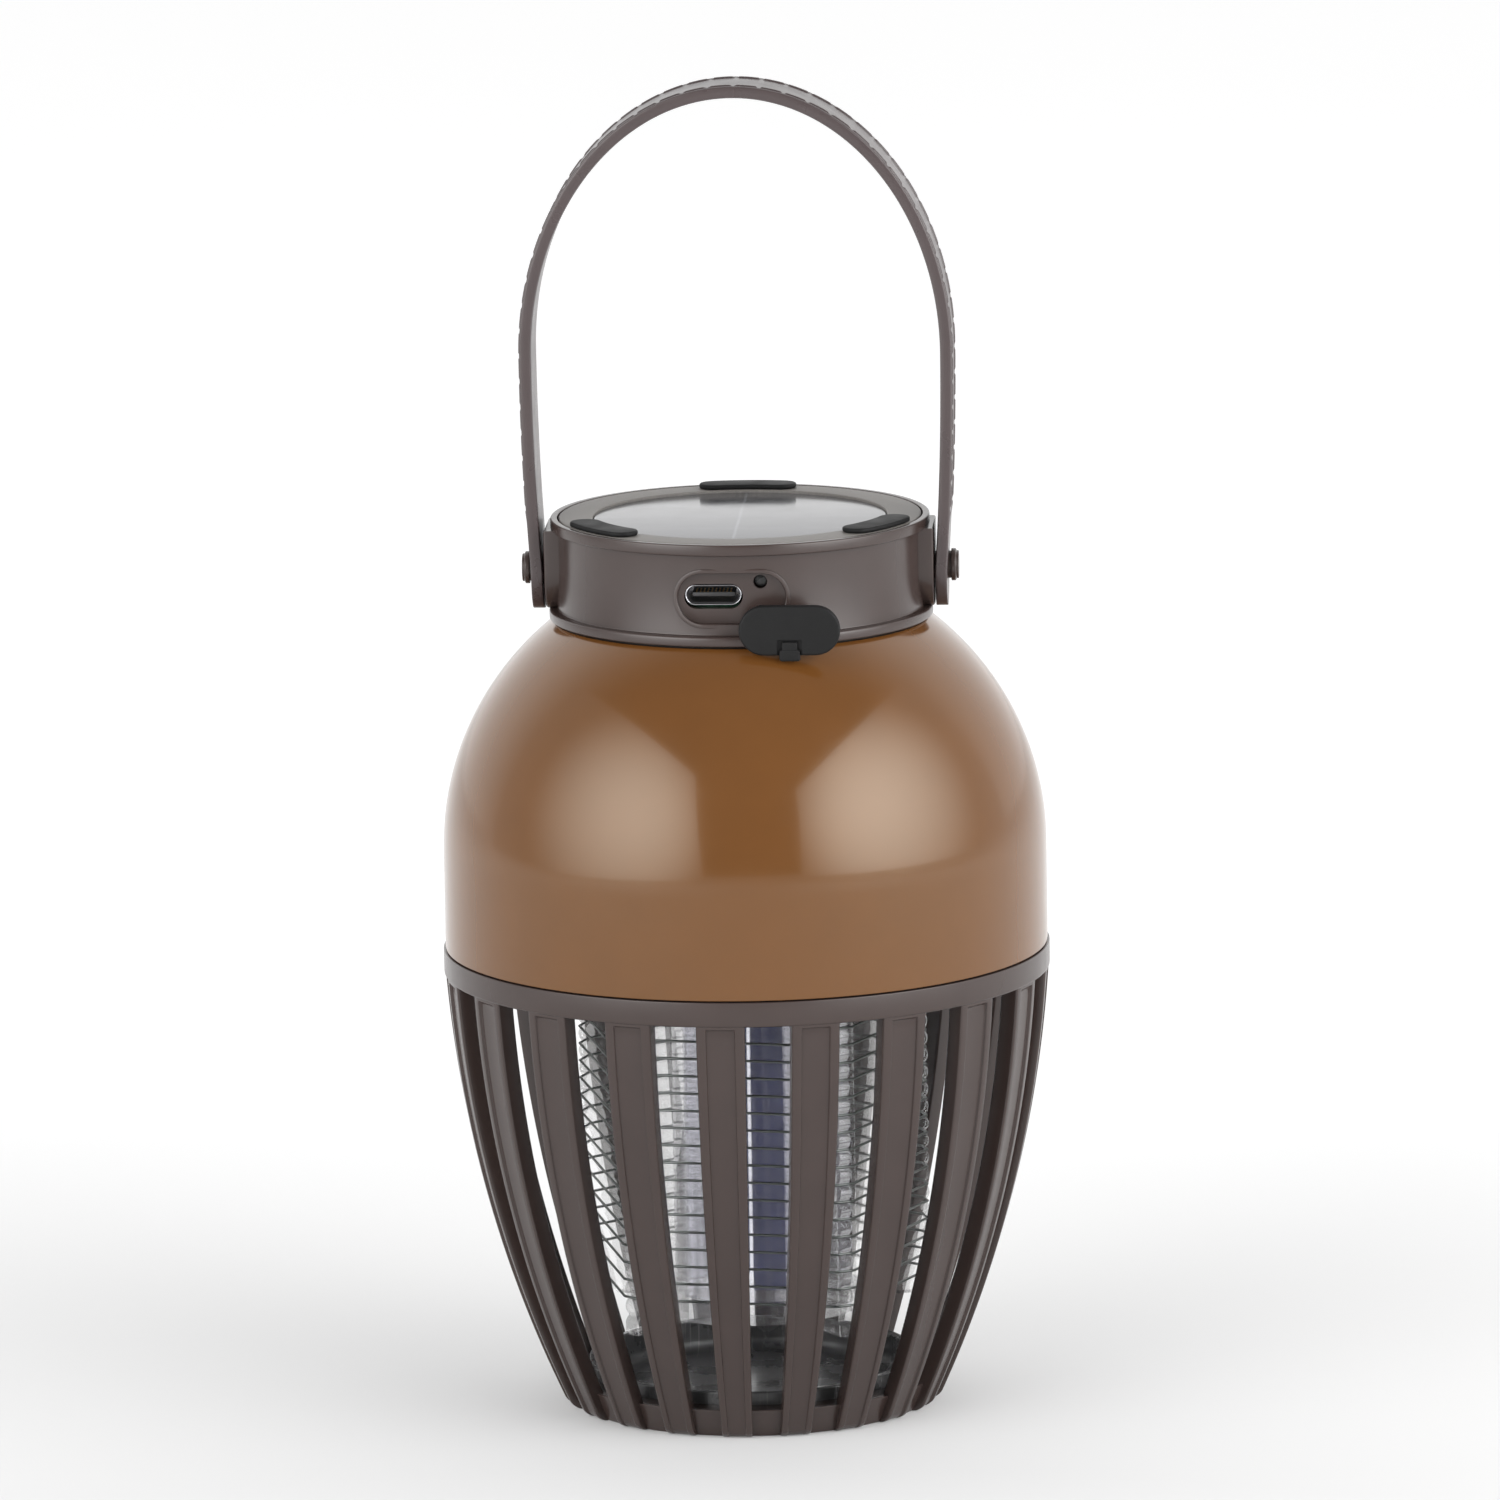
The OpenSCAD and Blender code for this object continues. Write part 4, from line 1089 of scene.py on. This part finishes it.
def handle_piece():
    """Strap swept along its line, with round ends, stitches on its outer face and a bore for each pin."""
    points, tangent, spots = strap_line()
    half = STRAP_W / 2
    right = [0.0, 1.5, 3.0, 4.2, 4.66, 4.71, 4.76, 4.84, 4.96, 5.1, 5.24, 5.36, 5.44, 5.49, 5.54,
             5.82, 5.92, 5.98, 6.05, 6.12, 6.2]
    across = [-v for v in reversed(right[1:])] + right
    edge = [(6.36, -0.24), (6.46, -0.34), (6.5, -0.5), (6.5, -STRAP_T + 0.45), (6.42, -STRAP_T + 0.18),
            (6.2, -STRAP_T + 0.04), (5.8, -STRAP_T), (3.0, -STRAP_T), (0.0, -STRAP_T)]
    loops = []
    for (x, z), (tx, tz), s in zip(points, tangent, spots):
        out = np.array([tz, -tx])
        drop = max(PIVOT_Z - z, 0.0) / half
        width = max(math.sqrt(max(1 - drop**2, 0.0)), 0.04)
        fade = min(max((z - PIVOT_Z - 7.0) / 3.0, 0.0), 1.0)
        loop = []
        for y in across:
            h = stitch_relief(y, s, fade)
            loop.append((x + out[0] * h, y * width, z + out[1] * h))
        for y, h in edge:
            loop.append((x + out[0] * h, y * width, z + out[1] * h))
        for y, h in reversed(edge[:-1]):
            loop.append((x + out[0] * h, -y * width, z + out[1] * h))
        loops.append(loop)
    obj = raw_object("fine_handle", [loft(loops)])
    bore = [(u, v + PIVOT_Z) for u, v in circle(PIN_R + 0.07, 48)]
    carve(obj, "DIFFERENCE", *[prism(bore, *ends, 0.01, along_x, 1) for ends in ((-40, -25), (25, 40))])
    finish_piece(obj, ["handle"], "handle", sharp=38)


def pin_pieces():
    """Snap pins: a shank in the lug and a stepped button head outside the strap."""
    head_x = leg_x(PIVOT_Z + PIN_HEAD_R) + 0.15
    outline = fillet([
        (0, PIN_TIP_X, 0), (PIN_R, PIN_TIP_X, 0.5), (PIN_R, head_x, 0.05), (PIN_HEAD_R, head_x, 0.15),
        (PIN_HEAD_R, head_x + 0.7, 0.2), (PIN_HEAD_R - 0.35, head_x + 0.85, 0.1),
        (PIN_HEAD_R - 0.35, head_x + PIN_HEAD_T, 0.45), (0, head_x + PIN_HEAD_T, 0),
    ], 0.2)
    verts, faces = lathe(outline, 64)
    for s, node in ((-1, "pivot_pin_left"), (1, "pivot_pin_right")):
        make(node, ([(s * z, x, PIVOT_Z + y) for x, y, z in verts], faces))


# ---------------------------------------------------------------- stage, lights and camera

# Millimetres and degrees, apart from the two softbox distances, which are metres
LENS = 277.7
CAMERA_AZIMUTH = -3.0
CAMERA_ELEVATION = 10.63
CAMERA_ROLL = -0.915
CAMERA_DISTANCE = 1855.0
AIM = (1.02, 106.0)
SOFTBOX_FAR = 1.3
SOFTBOX_HOT = 1.05
FLOOR_HALF = 4000


def set_camera():
    """Camera at the height, side and lens of the picture; it leans a little, as the picture does."""
    a, e, roll = (math.radians(v) for v in (CAMERA_AZIMUTH, CAMERA_ELEVATION, CAMERA_ROLL))
    ahead = Vector((math.sin(a) * math.cos(e), math.cos(a) * math.cos(e), -math.sin(e)))
    side = Vector((math.cos(a), -math.sin(a), 0.0))
    up = side.cross(ahead)
    right = math.cos(roll) * side + math.sin(roll) * up
    top = -math.sin(roll) * side + math.cos(roll) * up
    target = AIM[0] * side + Vector((0, 0, AIM[1]))
    camera = bpy.data.objects.new("camera", bpy.data.cameras.new("camera"))
    camera.data.lens = LENS
    camera.data.sensor_width = 36.0
    camera.data.clip_end = 60.0
    place = (target - CAMERA_DISTANCE * ahead) * MM
    matrix = camera.matrix_world.copy()
    for row in range(3):
        matrix[row][0] = right[row]
        matrix[row][1] = top[row]
        matrix[row][2] = -ahead[row]
        matrix[row][3] = place[row]
    camera.matrix_world = matrix
    bpy.context.scene.collection.objects.link(camera)
    bpy.context.scene.camera = camera


def softbox(name, corners, hot, strength):
    """Large lamp panel, brightest at its hot spot; corners and hot spot are in metres."""
    mesh = bpy.data.meshes.new(name)
    mesh.from_pydata(corners, [], [tuple(range(len(corners)))])
    panel = bpy.data.objects.new(name, mesh)
    bpy.context.scene.collection.objects.link(panel)
    lit = bpy.data.materials.new(name)
    lit.use_nodes = True
    tree = lit.node_tree
    tree.nodes.clear()
    out = tree.nodes.new("ShaderNodeOutputMaterial")
    glow = tree.nodes.new("ShaderNodeEmission")
    place = tree.nodes.new("ShaderNodeTexCoord")
    away = tree.nodes.new("ShaderNodeVectorMath")
    away.operation = "DISTANCE"
    away.inputs[1].default_value = hot
    fall = tree.nodes.new("ShaderNodeMapRange")
    fall.interpolation_type = "SMOOTHSTEP"
    fall.inputs["From Min"].default_value = 0.05
    fall.inputs["From Max"].default_value = 0.85
    fall.inputs["To Min"].default_value = strength
    fall.inputs["To Max"].default_value = strength * 0.14
    tree.links.new(place.outputs["Object"], away.inputs[0])
    tree.links.new(away.outputs["Value"], fall.inputs["Value"])
    tree.links.new(fall.outputs["Result"], glow.inputs["Strength"])
    tree.links.new(glow.outputs["Emission"], out.inputs["Surface"])
    mesh.materials.append(lit)
    panel.visible_camera = False


def spot(radius, azimuth, elevation):
    """Point of the studio at a distance and direction from the dome, in metres."""
    e = math.radians(elevation)
    x, y, _ = polar(radius * math.cos(e), azimuth)
    return (x, y, 0.1 + radius * math.sin(e))


def set_studio():
    """Softboxes at the left and right, a white room and a pale floor."""
    left = [spot(SOFTBOX_FAR, *way) for way in ((-18.8, 37), (-12.3, -3), (-107, -4), (-104, 43.6))]
    right = [spot(SOFTBOX_FAR, *way) for way in ((24.9, 31), (23.4, -2.2), (120, -3), (109, 44))]
    softbox("softbox_left", left, spot(SOFTBOX_HOT, -42, 18.7), 5.4)
    softbox("softbox_right", right, spot(SOFTBOX_HOT, 57, 18.4), 6.6)
    set_world()
    set_floor()


def set_floor():
    """Pale matt floor that glows more and more with distance, so that it runs out to white."""
    corners = [(x, y, -0.05) for x, y in bar(FLOOR_HALF, FLOOR_HALF)]
    floor = raw_object("floor", [(corners, [(0, 1, 2, 3)])])
    pale = Nodes("floor")
    cloud = pale.blend(pale.noise(300.0), (0.6, 0.6, 0.6, 1.0), (0.62, 0.62, 0.62, 1.0))
    pale.set(Base_Color=cloud, Roughness=0.9)
    away = pale.add("ShaderNodeVectorMath")
    away.operation = "DISTANCE"
    away.inputs[1].default_value = (0.0, -0.35, 0.0)
    pale.link(pale.place, away.inputs[0])
    pale.set(Emission_Color=(1.0, 1.0, 1.0, 1.0))
    pale.set(Emission_Strength=pale.ramp(away.outputs["Value"], 0.3, 0.85, 0.1, 0.58), Specular_IOR_Level=0.1)
    floor.data.materials.append(pale.material)


def set_world():
    """White studio behind the object and a dimmer room in front of it and above it."""
    world = bpy.data.worlds.new("studio")
    bpy.context.scene.world = world
    world.use_nodes = True
    tree = world.node_tree
    background = tree.nodes["Background"]
    place = tree.nodes.new("ShaderNodeTexCoord")
    split = tree.nodes.new("ShaderNodeSeparateXYZ")
    back = tree.nodes.new("ShaderNodeMapRange")
    back.interpolation_type = "SMOOTHSTEP"
    back.inputs["From Min"].default_value = -0.1
    back.inputs["From Max"].default_value = 0.6
    back.inputs["To Min"].default_value = 0.28
    back.inputs["To Max"].default_value = 1.2
    ray = tree.nodes.new("ShaderNodeLightPath")
    seen = tree.nodes.new("ShaderNodeMath")
    seen.operation = "MAXIMUM"
    tree.links.new(place.outputs["Generated"], split.inputs[0])
    tree.links.new(split.outputs["Y"], back.inputs["Value"])
    tree.links.new(back.outputs["Result"], seen.inputs[0])
    tree.links.new(ray.outputs["Is Camera Ray"], seen.inputs[1])
    tree.links.new(seen.outputs[0], background.inputs["Strength"])
    background.inputs["Color"].default_value = (1.0, 1.0, 1.0, 1.0)
    bpy.context.scene.view_settings.view_transform = "Standard"


dress_frame()
dome_piece()
band_piece()
grille_pieces()
tray_piece()
former_piece()
wire_pieces()
lamp_pieces()
collar_piece()
port_pieces()
cover_piece()
top_pieces()
button_piece()
handle_piece()
pin_pieces()
set_camera()
set_studio()
